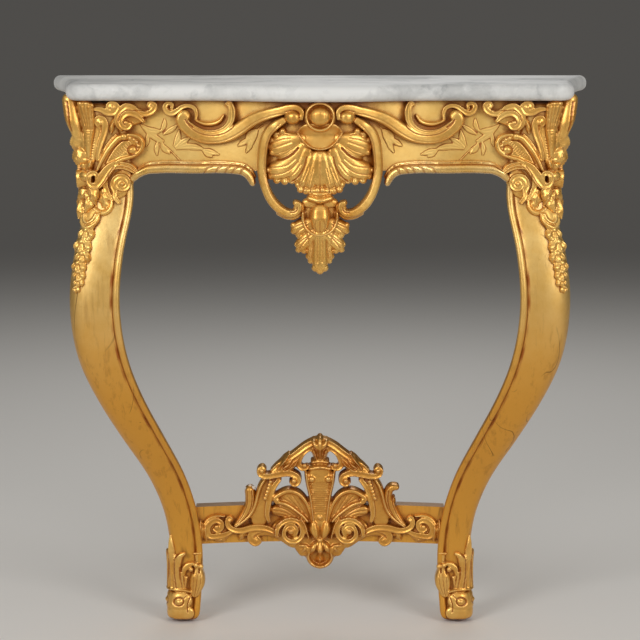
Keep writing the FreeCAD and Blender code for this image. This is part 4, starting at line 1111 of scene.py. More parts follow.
        # Sprays of leaves in low relief on the plain ground, each leaf with a punched outline coloured dark
        # as bole, dirt and painted shade
        sprays = []
        outlines = []
        plain = {"lobes": 1, "notch": 0.0, "flute": 0.0, "sink": 2}
        for line in (
            [(272, 36, 1.0), (262, 44, 4.4), (246, 47, 3.6), (240, 46, 0.8)],
            [(268, 42, 1.0), (256, 52, 4.4), (243, 60, 3.4), (236, 62, 0.8)],
            [(262, 52, 1.0), (262, 62, 3.4), (264, 70, 0.8)],
            [(241, 48, 1.0), (236, 38, 3.6), (235, 27, 0.8)],
            [(238, 52, 1.0), (226, 45, 3.8), (214, 36, 0.8)],
            [(222, 70, 1.0), (215, 56, 4.2), (213, 44, 0.8)],
            [(220, 72, 1.0), (206, 62, 4.2), (195, 55, 0.8)],
            [(219, 74, 1.0), (200, 70, 4.8), (183, 72, 3.6), (176, 74, 0.8)],
            [(180, 74, 1.0), (167, 78, 4.6), (152, 82, 0.8)],
            [(178, 76, 1.0), (170, 82, 3.8), (163, 86, 0.8)],
            [(241, 62, 1.0), (236, 74, 3.8), (227, 81, 0.8)],
            [(246, 62, 1.0), (248, 74, 3.4), (247, 84, 0.8)],
            [(93, 42, 1.0), (99, 53, 4.2), (101, 65, 0.8)],
            [(96, 42, 1.0), (107, 50, 4.4), (112, 60, 0.8)],
            [(103, 54, 1.0), (106, 67, 4.4), (112, 79, 0.8)],
            [(107, 56, 1.0), (116, 63, 4.2), (125, 69, 0.8)],
        ):
            sprays.append(leaf(line, 1.7, rib=-0.5, droop=0.2, coat=0.0, **plain))
            outlines.append(leaf(line, 0.5, rib=0.0, droop=0.0, coat=1.1, **plain))
        for stalk in ([(262, 54), (245, 62), (228, 75), (212, 92)], [(86, 36), (96, 44), (106, 57)]):
            sprays.append(band([(*spot, 0.8) for spot in stalk], 1.6, "round", sink=2, coat=0.0))
            outlines.append(band([(*spot, 2.0) for spot in stalk], 0.5, "flat", sink=2, coat=0.0))
        both("leaf_spray", (on_apron,), sprays, ground_gold(), [], grain=0.8, smooth=1)
        both("leaf_outline", (on_apron,), outlines, punched_bole_and_shade(), [], grain=0.8, smooth=1)
        return {"FINISHED"}


class PIER_OT_shell(bpy.types.Operator):
    """The boss, saucer, ribbed shell, egg and pendant leaves in the middle of the apron"""

    bl_idname = "pier_table.shell"
    bl_label = "Shell and pendant"

    def execute(self, context):
        # The boss in its ring, and the saucer under it
        circle = np.linspace(0, 2 * math.pi, 25)
        ring_line = [(20.5 * math.cos(turn), 22 + 20 * math.sin(turn), 3.4) for turn in circle]
        single("centre_boss_carving", on_apron, [
            band(ring_line, 17, "round", sink=6),
            band([(-0.5, 22, 15.6), (0.5, 22, 15.6)], 22, "full"),
            band([(-0.5, 22, 20), (0.5, 22, 20)], 9, "flat"),
        ], carved_gold(), ["centre_boss"])
        rim = [(x, 70 - (abs(x) / 33.0) ** 2.4 * 24, 1.8) for x in np.linspace(-33, 33, 17)]
        single("shell_saucer_carving", on_apron, [
            band(rim, 19, "round"),
            band([(-15, 50, 19), (15, 50, 19)], 18, "dish"),
        ], carved_gold(), ["shell_saucer"])
        # Petals that end in pearls, with flutes between them
        petals = [
            band([(30, 56, 10, 0.95), (44, 60, 16), (56, 64, 19), (60, 66, 18)], 12, "full"),
            band([(26, 68, 10, 0.95), (42, 88, 16), (56, 101, 17), (64, 104, 15)], 13, "full"),
            band([(20, 74, 10), (30, 98, 13), (38, 108, 12)], 13, "full"),
            band([(12, 84, 8), (19, 103, 9), (25, 120, 8.4)], 14, "full"),
            band([(5, 86, 8), (9, 106, 9), (14, 123, 8)], 15, "full"),
        ]
        petals += pearls(
            (33, 124, 4.8, 6), (29.5, 131, 5.4, 7), (21, 133, 5.6, 8), (12, 133, 5.4, 9), (4, 132, 5.2, 9),
            (79, 103, 5, 6), (75, 112, 5.6, 5), (65, 118, 5.6, 5), (53, 119.5, 5.6, 5), (42, 118, 5.4, 5),
            (74, 58, 5.6, 5), (76.5, 67, 5.2, 5), (72, 76, 5.6, 5), (67, 49, 5.8, 5), (57, 44, 5.6, 5),
        )
        plume = band([(0, 88, 18), (0, 100, 20), (0, 106, 21)], 15, "full")
        flutes = [
            ([(45, 49), (55, 48), (66, 50)], 1.1, 0.8), ([(44, 54), (56, 56), (73, 61)], 1.1, 0.9),
            ([(43, 60), (54, 64), (74, 71)], 1.1, 0.9), ([(41, 67), (50, 72.5), (68, 79)], 1.1, 0.8),
            ([(33, 69), (43, 79), (55, 85.5), (78, 88)], 2.0, 2.8),
            ([(37, 85), (50, 95), (66, 98), (80, 98)], 1.1, 0.9),
            ([(33, 89), (46, 102), (60, 108), (76, 109)], 1.2, 1.2),
            ([(29, 93), (40, 107), (52, 114), (64, 117)], 1.1, 0.9),
            ([(20, 82), (24, 97), (33, 112), (42, 119)], 1.6, 1.8),
            ([(17, 97), (26, 118), (33, 130)], 1.1, 0.8), ([(10, 99), (16, 122), (22, 136)], 1.1, 0.6),
            ([(11, 122), (14, 130), (15, 138)], 1.2, 1.2), ([(21, 120), (24, 128), (26, 136)], 1.2, 1.2),
        ]
        flutes += flipped(flutes)
        flutes.append(([(0, 78), (0, 104), (0, 132)], 1.2, 0.9))
        petals += mirrored(petals)
        single("shell_carving", on_apron, petals + [plume], carved_gold(), ["shell"], cuts=flutes)
        # The collar under the shell, the egg and its rim
        single("calyx_carving", on_apron, [
            band([(-15, 136, 4, 0.8), (0, 138, 5.5), (15, 136, 4, 0.8)], 15, "round"),
            band([(-15, 144, 5, 0.8), (0, 147, 6.4), (15, 144, 5, 0.8)], 19, "round"),
            band([(-20, 152, 7, 0.7), (0, 152, 9), (20, 152, 7, 0.7)], 11, "full"),
        ], carved_gold(), ["calyx"])
        egg = band([(0, 168, 16, 0.96), (0, 174, 16.4), (0, 182, 14.6, 0.96)], 21, "full")
        side_cut = [([(6, 176), (8, 184), (6, 192)], 1.1, 1.0)]
        cuts = [([(0, 178), (0, 186), (0, 194)], 1.2, 1.2)] + side_cut + flipped(side_cut)
        single("egg_carving", on_apron, [egg], carved_gold(), ["egg"], cuts=cuts)
        half_rim = [(26, 166, 2.6), (25.5, 177, 3), (21.5, 188, 3.2), (13, 196, 3.4), (0, 199.5, 3.4)]
        single("egg_rim_carving", on_apron, [
            band(half_rim + [(-u, v, w) for u, v, w in half_rim[-2::-1]], 16, "round"),
            band([(0, 166, 27), (0, 174, 26)], 6, "full"),
        ], carved_gold(), ["egg_rim"])
        # Three pairs of leaves that hang under the egg
        leaves = [
            band([(12, 184, 12), (26, 187, 12), (33, 190, 10.5)], 12, "full"),
            *pearls((40, 185, 4.8, 5), (39.5, 194, 5, 5), (32, 200, 5, 5)),
            band([(9, 198, 11), (20, 207, 11.5), (27, 214, 10)], 13, "full"),
            *pearls((34.5, 214, 4.6, 5), (32.5, 222, 4.8, 5), (24, 223.5, 4.8, 5)),
            band([(6, 208, 8), (11, 222, 8), (14, 232, 6.4)], 11, "full"),
            *pearls((18, 232, 4, 5), (14.5, 239, 4.2, 5), (7, 249, 6, 7)),
        ]
        middle = band([(0, 198, 12), (0, 220, 12), (0, 240, 12.5), (0, 246, 11)], 15, "full")
        veins = [
            ([(20, 180), (31, 184), (42, 189)], 1.3, 1.1), ([(19, 184), (28, 190), (38, 198)], 1.3, 1.1),
            ([(22, 194), (17, 204), (17, 212)], 1.4, 1.0), ([(13, 198), (22, 208), (31, 219)], 1.3, 1.1),
            ([(17, 200), (27, 207), (36, 213)], 1.3, 1.0), ([(10, 206), (11, 222), (13, 234)], 1.5, 1.0),
            ([(3.5, 203), (4, 222), (4, 240)], 1.2, 0.8), ([(12, 214), (15, 226), (17, 236)], 1.1, 0.8),
        ]
        veins += flipped(veins)
        leaves += mirrored(leaves)
        leaves += [middle, ball(0, 253, 6, 8)]
        single("pendant_leaf_carving", on_apron, leaves, carved_gold(), ["pendant_leaf"], cuts=veins)
        return {"FINISHED"}


class PIER_OT_knees(bpy.types.Operator):
    """The feathered scrolls, volutes, corner palmettes and husk drops of the knees"""

    bl_idname = "pier_table.knees"
    bl_label = "Knee carving"

    def execute(self, context):
        # Feather, pierced hook, bundle of reeds, volute, tendril and leaves on both faces of the knee
        feather = [
            band([(280, 66, 13), (293, 71, 17), (306, 79, 16), (318, 91, 11), (328, 103, 7)], 7, "flat"),
            band([
                (296, 54.5, 4.6), (303, 56, 4.4), (312, 64, 4.2), (321, 75, 3.8), (329, 88, 3.2),
                (337, 104, 2.2),
            ], 12.5, "full"),
            band([
                (290, 51.5, 2), (281, 52.5, 2.6), (272, 57, 3), (268.5, 65, 3.2), (271, 74, 3.2),
                (278, 81, 3.2), (289, 86, 3), (302, 89.5, 2.8), (314, 97, 2.4),
            ], 11, "full"),
            band([
                (335, 102, 1.4), (331, 86, 1.6), (325, 71, 1.6), (317, 60, 1.4), (308, 51, 1.2),
            ], 8.5, "round"),
            band([(296, 54.6, 5.6), (297, 54.8, 5.6)], 14, "full"),
            band([(282.5, 74.5, 6), (284, 75, 6)], 12, "full"),
            *pearls((287, 57, 2.8, 7), (281.5, 59, 2.8, 7), (277, 62.8, 2.8, 7), (275.2, 68, 2.6, 7)),
        ]
        hook = band([
            (311, 96, 5), (319, 102, 7), (326, 111, 8), (333, 121, 8), (339, 128.5, 6),
            (346, 128, 4.6, 1.15), (350.5, 120, 4.2, 1.25), (348.5, 111.5, 4, 1.25),
            (341.5, 109.5, 3.6, 1.2), (337.5, 114, 3, 1.1), (338.5, 118.5, 2.4),
        ], 14, "ribbon")
        bundle = band([
            (316, 105, 2.6), (308, 99.5, 5), (297, 98.5, 6.6), (287, 102, 6.6), (280, 107.5, 4.6),
        ], 11, "ribbed")
        winding = spiral(300, 126, start=16, end=3.2, angle=48, turns=-2.1, half=3.7, tip=2.6)
        volute = [
            band([(305, 154, 2.6), (311, 146, 3.6)] + winding, 12, "ribbon"),
            ball(300, 126, 3.4, 9.5),
            band([
                (315, 107, 2.4), (323, 116, 3.6), (325.5, 128, 3.8), (321, 141, 3.4), (315, 151, 2.4),
            ], 9, "ribbon"),
            *pearls(
                (329, 121, 3, 5), (330, 128, 3, 5), (328, 135, 3, 5), (324.5, 142, 3, 5),
                (320, 148.5, 2.8, 5),
            ),
            band([(300, 122, 17), (306, 134, 15)], 7, "full"),
        ]
        tendril = [
            band([
                (337, 90, 2), (335, 77, 3.2), (331, 63, 4.2), (326, 49, 4.8), (324.5, 37, 4.8),
                (328, 28, 4.4), (335, 26.5, 3.8), (338.5, 32, 3.4), (335.5, 37, 3),
            ], 9, "ribbon"),
            ball(331.5, 33, 4.6, 4.5),
            band([(341, 34, 10, 0.9), (342, 50, 10), (345, 70, 8), (347, 92, 5.5, 0.9)], 6.5, "ribbon"),
        ]
        leaves = [
            leaf([(351, 134, 2, 0.6), (347, 146, 6.4), (339, 161, 1, 0.4)], 12, lobes=2, notch=0.1),
            leaf([(330, 134, 4), (328, 148, 9), (324, 166, 4, 0.5)], 9, lobes=3, notch=0.08),
            band([
                (316, 151, 2.6), (317, 160, 4), (323, 168, 4.6), (333, 170, 4.6), (342, 164, 3.4),
            ], 9, "round"),
            leaf([(344, 84, 1, 0.5), (348, 95, 5), (350, 108, 1, 0.4)], 9, lobes=2, notch=0.1),
        ]
        # The hole in the hook, outlines, and ribs across the feather and the tendril
        marks = [
            ([(344, 118), (344.5, 120), (345, 122)], 2.4, 5.0),
            ([(277, 75), (278.5, 69.5), (284, 67.6), (290, 71), (291, 77), (286, 82), (280, 81)], 1.1, 1.8),
            ([(290, 60), (299, 61), (308, 68), (317, 80), (326, 96)], 1.2, 2.0),
            ([(312, 100), (320, 111), (328, 124), (336, 133)], 1.1, 1.2),
            ([(321, 112), (320.5, 126), (317, 141)], 1.1, 1.8),
        ]
        for step in range(10):
            marks.append((
                [(288 + step * 2.9, 60 + step * 2.6), (283 + step * 2.9, 67.5 + step * 2.2)], 0.9, 1.0,
            ))
        for step in range(11):
            marks.append(([(341 + step * 0.5, 49 + step * 4), (352 - step * 0.1, 48 + step * 4)], 1.1, 1.3))
        both("knee_scroll", (on_knee, on_side_knee), feather + [hook, bundle] + volute + tendril + leaves,
             carved_gold(), ["knee_feather", "knee_volute"], cuts=marks)
        # Ribbed leaves and pearls round the top of the arris, over a bunch of small leaves
        palmette = [
            band([(11, -2, 8, 0.92), (10, 14, 8.6, 0.98), (8, 34, 8, 1.0), (6, 54, 5, 0.8)], 24, "round"),
            band([
                (-4, 84, 3, 0.8), (-7, 62, 5), (-10, 42, 7.4), (-11, 24, 10), (-11, 10, 11, 1.1),
            ], 11, "full"),
            band([(20, 84, 3, 0.8), (23, 62, 5), (26, 42, 7.4), (28, 24, 9), (28, 10, 9, 1.1)], 11, "full"),
            band([(8, 52, 10, 1.2), (8, 72, 12, 1.1), (8, 100, 13), (8, 130, 14), (8, 156, 11)], 9, "full"),
            ball(0, 115, 8, 12),
            *pearls(
                (-20, 7, 3.6, 8), (-14, 5, 3.6, 9), (-7, 4.5, 3.6, 10), (22, 4.5, 3.6, 10), (29, 5, 3.6, 9),
                (35, 7, 3.4, 8),
            ),
        ]
        for line, relief in (
            ([(6, 50, 2, 0.8), (10, 64, 7.4), (13, 80, 1, 0.7)], 21),
            ([(4, 72, 2, 0.8), (3, 86, 6.6), (6, 102, 1, 0.7)], 18),
            ([(14, 74, 2, 0.8), (17, 88, 6.6), (14, 103, 1, 0.7)], 20),
            ([(9, 104, 3, 0.9), (14, 118, 7.4), (12, 134, 2, 0.7)], 18),
            ([(-4, 126, 3, 0.9), (-8, 141, 7.4), (-5, 158, 1, 0.7)], 14),
            ([(18, 126, 3, 0.9), (22, 141, 7.4), (19, 158, 1, 0.7)], 14),
            ([(0, 138, 3, 0.9), (-3, 153, 7.4), (-2, 170, 2, 0.7)], 15),
            ([(12, 138, 3, 0.9), (15, 153, 7.4), (14, 170, 2, 0.7)], 16),
            ([(6, 150, 3, 0.9), (6, 164, 7), (6, 180, 2, 0.7)], 17),
        ):
            palmette.append(leaf(line, relief, lobes=2, notch=0.16, sink=4))
        veins = [
            ([(11, 2), (10, 24), (8, 50)], 1.2, 1.8),
            ([(15.5, 2), (15, 22), (11, 46)], 1.2, 1.6),
            ([(6, 2), (5, 22), (5, 46)], 1.2, 1.6),
        ]
        for middle in (-11, 28):
            for step in (-2, -1, 0, 1, 2):
                line = [(middle + step * 2.0, 44), (middle + step * 3.2, 24), (middle + step * 4.4, 6)]
                veins.append((line, 1.0, 0.9))
            for step in range(5):
                veins.append((
                    [(middle - 5 + step, 47 + step * 5), (middle + 5 + step, 47 + step * 5)], 0.9, 0.4,
                ))
        for around, drop in ((5, 106), (-8, 122), (6, 142), (20, 122), (-8, 104)):
            veins.append(([(around, drop), (around, drop + 3)], 2.2, 4.5))
        for around in (-3, 2, 10, 15):
            veins.append(([(around, 146), (around * 0.9 + 0.6, 153), (around * 0.8 + 1.2, 161)], 1.1, 1.1))
        both("knee_palmette", (on_leg,), palmette, carved_gold(), ["knee_palmette"], cuts=veins)
        # Two collars and a chain of husks that grow smaller downwards
        husks = [
            band([(-8, 172, 11), (-9, 182, 9)], 8, "full"),
            band([(-19, 170, 2), (-17, 184, 3.6), (-8, 191, 4), (1, 184, 3.6), (3, 170, 2)], 11, "round"),
            band([
                (-15, 171, 1.6), (-13, 180, 2.6), (-8, 184, 3), (-3, 180, 2.6), (-1, 171, 1.6),
            ], 12.5, "round"),
        ]
        drops = ((190, 1.05), (207, 1.15), (225, 1.0), (240, 0.95), (254, 0.8), (267, 0.66), (279, 0.5))
        for step, (drop, size) in enumerate(drops):
            middle = -8 + 2.2 * math.sin(2.4 * step)
            for lean, late in ((-1, 2.0), (1, 0.0), (0.1, 5.0)):
                start = drop + late * size
                husks.append(leaf([
                    (middle + lean * 2, start, 1.2, 0.6),
                    (middle + lean * 7 * size, start + 9 * size, 5.4 * size),
                    (middle + lean * 9 * size, start + 19 * size, 0.8, 0.35),
                ], 6 * size + 3, lobes=2, notch=0.16))
            husks += pearls(
                (middle - 6 * size, drop + 1, 3.2 * size, 5),
                (middle + 5 * size, drop + 14 * size, 3.0 * size, 4.5),
                (middle, drop + 4 * size, 3.6 * size, 6.5),
            )
        both("husk_drop", (on_leg,), husks, carved_gold(), ["husk_drop"])
        return {"FINISHED"}


class PIER_OT_feet(bpy.types.Operator):
    """The leaf that clasps each foot, over a scrolled toe"""

    bl_idname = "pier_table.feet"
    bl_label = "Foot leaves"

    def execute(self, context):
        # A tall leaf on the arris between fronds, over the scroll of the toe
        middle = leaf([
            (2, 702, 0.8, 0.4), (2, 722, 4.6), (1, 750, 5.4), (0, 792, 5),
        ], 8.5, lobes=3, notch=0.08)
        side = [
            band([
                (39, 758, 7, 0.8), (38, 770, 11.5), (37, 782, 12), (35, 794, 8, 0.9),
            ], 10, "full", sink=12),
            *pearls((44, 752, 4.4, 6), (36, 750, 4.2, 7), (28, 757, 4.4, 6)),
            band([
                (31, 748, 2.6), (24, 750, 4.6), (17, 757, 5.2), (13, 771, 4.6), (12.5, 790, 3.6),
            ], 8, "full"),
            band([(18, 731, 2.2), (12, 735, 4.4), (8, 746, 4.8), (7, 765, 4.2), (7, 790, 3.4)], 9.5, "full"),
            band([(21, 770, 2), (18.5, 780, 3), (18, 792, 2.6)], 7, "full"),
            band([(44, 731, 1.4), (34, 732, 1.4)], 4.6, "round"),
            band([(39, 736, 4), (39, 750, 3.4)], 3, "round"),
            band([(28, 793, 2), (14, 790, 2.4), (0, 790, 2.4)], 10, "round"),
            band([(15, 809, 16), (8, 809, 16)], 8, "full"),
            band([(24, 828, 11), (4, 828, 11)], 6.5, "full"),
            band([(10.6, 809, 3.4), (11.4, 809, 3.4)], 10, "full"),
        ]
        circle = np.linspace(0, 2 * math.pi, 13)
        ring = [(11 + 6.4 * math.cos(turn), 809 + 6.4 * math.sin(turn)) for turn in circle]
        slits = [
            (ring, 1.5, 2.2),
            ([(19, 744), (13.5, 751), (12, 760)], 1.6, 4.0),
            ([(10.5, 730), (5.5, 738)], 1.5, 4.0),
            ([(4.4, 742), (4.6, 765), (7, 787)], 1.1, 1.8),
            ([(10.4, 754), (11, 770), (14, 787)], 1.1, 1.8),
            ([(15.6, 768), (19, 787)], 1.1, 1.6),
            ([(33, 756), (31.5, 763)], 1.8, 3.5),
            ([(41, 756), (41, 762)], 1.5, 3.0),
            ([(38, 764), (37, 780), (34.5, 799)], 1.1, 1.3),
            ([(44, 764), (43, 780), (38, 797)], 1.0, 1.1),
            ([(32, 770), (31.5, 784), (32, 797)], 1.0, 1.1),
            ([(27, 803), (24, 815), (25, 826)], 1.2, 2.0),
            ([(22, 799), (18, 804)], 1.1, 1.4),
        ]
        forms = [middle] + mirrored(side) + side
        slits += flipped(slits)
        both("foot_leaf", (on_leg,), forms, carved_gold(), ["foot_leaf"], cuts=slits)
        return {"FINISHED"}


class PIER_OT_crest(bpy.types.Operator):
    """The pierced crest in the middle of the stretcher"""

    bl_idname = "pier_table.crest"
    bl_label = "Stretcher crest"

    def execute(self, context):
        # Arch, shoulder scroll, inner curl and side bars, with tufts on the arch and a row of pearls
        sides = [
            band([
                (0, 169, 4.6), (12, 165, 5), (24, 158.5, 5), (35, 150, 5), (47, 141.5, 4.6), (59, 134, 4.2),
                (69, 126.5, 3.6), (77, 119.5, 2.4),
            ], 21, "ribbon", sink=CREST_BAND),
            band([(30, 146, 5), (44, 134, 7.6), (58, 125, 7)], 15, "full", sink=CREST_BAND),
            band([
                (89, 121, 2.8), (92.5, 125, 3.2), (97.5, 120.5, 3.8), (95, 113.5, 4.2), (86, 111, 4.6),
                (74, 112.5, 5), (62, 114.5, 5.2), (52, 115.5, 5.4), (42, 113, 5.4), (35.5, 107.5, 5),
                (35.5, 100.5, 4.6), (41, 97, 4.2), (46, 101, 3.4),
            ], 22, "ribbon", sink=CREST_BAND),
            band([
                (8, 153, 2.4), (18, 153.5, 3.2), (27, 147.5, 4), (33, 138, 4.6), (34.5, 129, 4.6),
                (28, 122.5, 4.2), (20.5, 124.5, 3.4),
            ], 18, "ribbon", sink=CREST_BAND),
            band([
                (88, 107, 3.2), (96, 93, 3.8), (100.5, 79, 4), (104, 65, 4), (109, 53, 4), (117, 43, 3.8),
                (127, 35, 3.2), (135, 30, 2.2),
            ], 17, "round", sink=CREST_BAND),
            band([
                (66, 104, 3.8), (75, 91, 4.4), (80.5, 76, 4.6), (84, 60, 4.4), (85, 47, 3.8), (82, 36, 2.6),
            ], 17, "ribbon", sink=CREST_BAND),
            band([(76, 106, 9), (88, 84, 11), (94, 62, 12), (98, 40, 14)], 10, "flat", sink=CREST_BOARD),
            *pearls((93, 120.5, 4.4, 17), (41.5, 103, 4.8, 17), (24.5, 127.5, 4, 14)),
            leaf([
                (66, 117, 1, 0.7), (58, 125, 5), (50, 131, 4.6), (45, 138, 0.8, 0.8),
            ], 21, lobes=2, notch=0.16, sink=CREST_LEAF),
            leaf([
                (56, 119, 1, 0.7), (47, 124, 4.6), (39, 131, 4), (34, 141, 0.8, 0.8),
            ], 20, lobes=2, notch=0.16, sink=CREST_LEAF),
            leaf([
                (72, 117, 1, 0.7), (66, 123, 4), (58, 131, 0.8, 0.8),
            ], 20, lobes=2, notch=0.16, sink=CREST_LEAF),
            leaf([
                (68, 124, 1.6, 0.8), (58, 135, 5), (49, 147, 1.2, 0.8),
            ], 25, lobes=2, notch=0.14, sink=CREST_BOARD),
        ]
        for step in range(6):
            sides.append(ball(79.5 + step * 1.7, 101.5 - step * 5.4, 3.4, 13.6))
        # Fluted wings beside the plume, and the volutes under them
        wings = [
            band([(20, 42, 8), (30, 60, 14), (44, 71, 14), (56, 75, 10)], 12, "full", sink=CREST_BOARD),
            band([
                (12, 33, 2.6), (16, 52, 3.2), (24, 70, 3.6), (36, 82, 4), (50, 86, 4.2), (64, 81, 4.2),
                (73, 73.5, 3.8), (70, 67.5, 3),
            ], 18, "full", sink=CREST_BAND),
            band([
                (20, 36, 2.4), (32, 49, 3), (44, 58, 3.4), (58, 65.5, 3.4), (69, 67.5, 2.8),
            ], 18, "full", sink=CREST_BAND),
            band([(28, 34, 6), (44, 46, 10), (60, 52, 11), (70, 53, 9)], 11, "full", sink=CREST_BOARD),
            ball(69, 71, 4.6, 14),
        ]
        volute = [
            band([
                (70, 12, 2.2), (67.5, 26, 3.6), (58.5, 35, 4), (46, 38.5, 4), (34, 34, 4), (28, 23, 4),
                (30, 11, 4), (39, 3, 3.8), (50, 4, 3.6), (57.5, 12, 3.4), (57, 22, 3.2), (51, 29, 3.2),
                (42.5, 28.5, 3), (37.5, 22, 2.8), (39.5, 14.5, 2.6),
            ], 20, "ribbon", sink=CREST_BAND),
            ball(46.5, 19.5, 5.4, 14),
            band([(60, 20, 18), (42, 14, 24)], 9, "full", sink=CREST_BOARD),
        ]
        # The plume with its collar and three-petalled tip
        plume = [
            band([
                (0, 32, 10), (0, 55, 12.5), (0, 80, 15.5), (0, 104, 19), (0, 112, 20),
            ], 19, "flat", sink=CREST_BOARD),
            *pearls((13, 106, 5.6, 18), (-13, 106, 5.6, 18), (0, 43, 4.8, 17)),
        ]
        edge = band([
            (10, 34, 2.4), (12.5, 55, 2.6), (16, 80, 2.8), (20.5, 101, 3), (22, 115, 3),
        ], 22, "round", sink=CREST_BAND)
        plume += [edge] + mirrored([edge])
        collar = [
            band([(-15, 123, 4.4, 0.85), (0, 126, 5), (15, 123, 4.4, 0.85)], 24, "round", sink=CREST_BOARD),
            band([(-11, 133, 3.6, 0.85), (0, 135, 4.4), (11, 133, 3.6, 0.85)], 20, "round", sink=CREST_BOARD),
        ]
        tips = [
            leaf([(5, 138, 1.5), (9, 150, 5), (12, 158, 0.8, 0.6)], 21, lobes=2, notch=0.16, sink=CREST_LEAF),
            band([(3, 156, 2.6, 0.9), (7.6, 163, 4), (10, 168, 3, 0.9)], 27, "full", sink=CREST_BOARD),
        ]
        finial = tips + mirrored(tips) + [
            band([(0, 138, 9), (0, 152, 11), (0, 164, 9)], 17, "full", sink=CREST_BOARD),
            leaf([(0, 140, 2), (0, 156, 6), (0, 172, 4, 0.9)], 25, lobes=2.5, notch=0.16, sink=CREST_LEAF),
            band([(0, 156, 3.6, 0.9), (0, 166, 5), (0, 171.5, 4, 0.9)], 29, "full", sink=CREST_BOARD),
        ]
        # Two heart-shaped petals over a drooping tuft, each side of the middle
        bow = [
            band([
                (10, 32, 6.4, 0.95), (9.6, 25, 8.4), (7, 15, 6), (5, 8, 2.2, 0.85),
            ], 25, "full", sink=CREST_BOARD),
            band([(18, 9, 1.8), (21, 20, 2.6), (25, 32, 2.2), (31, 41, 1.6)], 20, "round", sink=CREST_BOARD),
            band([
                (3, 1, 3.4, 0.9), (8.4, -4, 5.6), (12, -11, 4.8), (13, -15, 2.6, 0.8),
            ], 23, "full", sink=CREST_BOARD),
            band([
                (16, -14, 2.6), (19, -22, 3.2), (16.5, -31, 3.6), (9, -38, 3.8), (0, -40.5, 3.8),
            ], 16, "round", sink=CREST_BOARD),
            band([(12, 20, 14), (10, -10, 14)], 11, "full", sink=CREST_BOARD),
        ]
        keel = [
            ball(0, 5, 4.8, 18),
            band([(0, 34, 8), (0, 14, 6)], 20, "full", sink=CREST_BOARD),
            band([
                (0, 1, 3.4, 0.9), (0, -6, 5.6), (0, -13, 5), (0, -17, 2.6, 0.8),
            ], 26, "full", sink=CREST_BOARD),
            leaf([
                (0, -18, 4, 0.9), (0, -27, 7), (0, -34, 2, 0.7),
            ], 16, lobes=2, notch=0.14, flute=0.12, sink=CREST_BOARD),
            band([(0, -20, 16), (0, -30, 12)], 9, "full", sink=CREST_BOARD),
        ]
        # Shell-like lobes along the lower edge
        rosette = []
        for u, rise, lean in ((43, -1, 0.35), (27.5, -15, 0.75)):
            rosette.append(band([(u - 5, rise + 8, 11), (u - 2, rise + 3, 12)], 11, "full", sink=CREST_BOARD))
            for turn in (-0.75, 0.0, 0.75):
                line = []
                for reach, *width in ((3, 1.6), (9, 3), (14, 3.2, 0.8)):
                    across = u - 9 + reach * math.cos(lean + turn)
                    line.append((across, rise + 10 - reach * math.sin(lean + turn), *width))
                rosette.append(band(line, 15, "full", sink=CREST_BOARD))
        ground = [
            band([(34, 30, 24), (44, 56, 22), (56, 70, 16)], 8, "full", sink=CREST_BOARD),
            band([(22, -4, 20), (0, -14, 22)], 10, "full", sink=CREST_BOARD),
        ]
        half = sides + wings + volute + bow + rosette + ground
        marks = [
            ([(22, 46), (26, 60), (33, 74)], 1.1, 1.2), ([(25, 47), (33, 62), (44, 78)], 1.1, 1.2),
            ([(28, 48), (39, 62), (53, 77)], 1.1, 1.2), ([(31, 50), (44, 63), (60, 74)], 1.1, 1.2),
            ([(34, 52), (48, 64), (65, 71)], 1.0, 1.0),
            ([(33, 38), (50, 52), (68, 61)], 1.2, 1.4), ([(40, 41), (56, 50), (74, 54)], 1.2, 1.4),
            ([(50, 42), (62, 46), (74, 47)], 1.2, 1.4),
            ([(60, 38), (66, 33), (71, 24)], 1.1, 1.4), ([(0, 32), (0.4, 22), (1.4, 9)], 0.9, 2.0),
            ([(6, -33), (7.4, -44)], 1.1, 1.6),
            ([(5, -3), (6.4, -9), (7, -15)], 1.0, 1.8), ([(19, 33), (18.4, 22), (12, 8)], 1.3, 2.0),
        ]
        marks += flipped(marks)
        for step in range(15):
            rise = 52 + step * 3.4
            half_width = 9 + step * 0.5
            marks.append(([(-half_width, rise), (0, rise + 0.6), (half_width, rise)], 1.1, 1.1))
        forms = half + mirrored(half) + plume + collar + finial + keel
        nodes = ["crest_board", "crest_plume", "crest_finial", "crest_bow", "crest_rosette"]
        for name in ("crest_arch", "crest_band", "crest_wing", "crest_volute"):
            nodes += [name + "_left", name + "_right"]
        # A coarser grain keeps the largest carving under 200,000 triangles
        single("crest_carving", on_stretcher, forms, low_shaded_gold(), nodes, cuts=marks, grain=1.24, smooth=1)
        return {"FINISHED"}


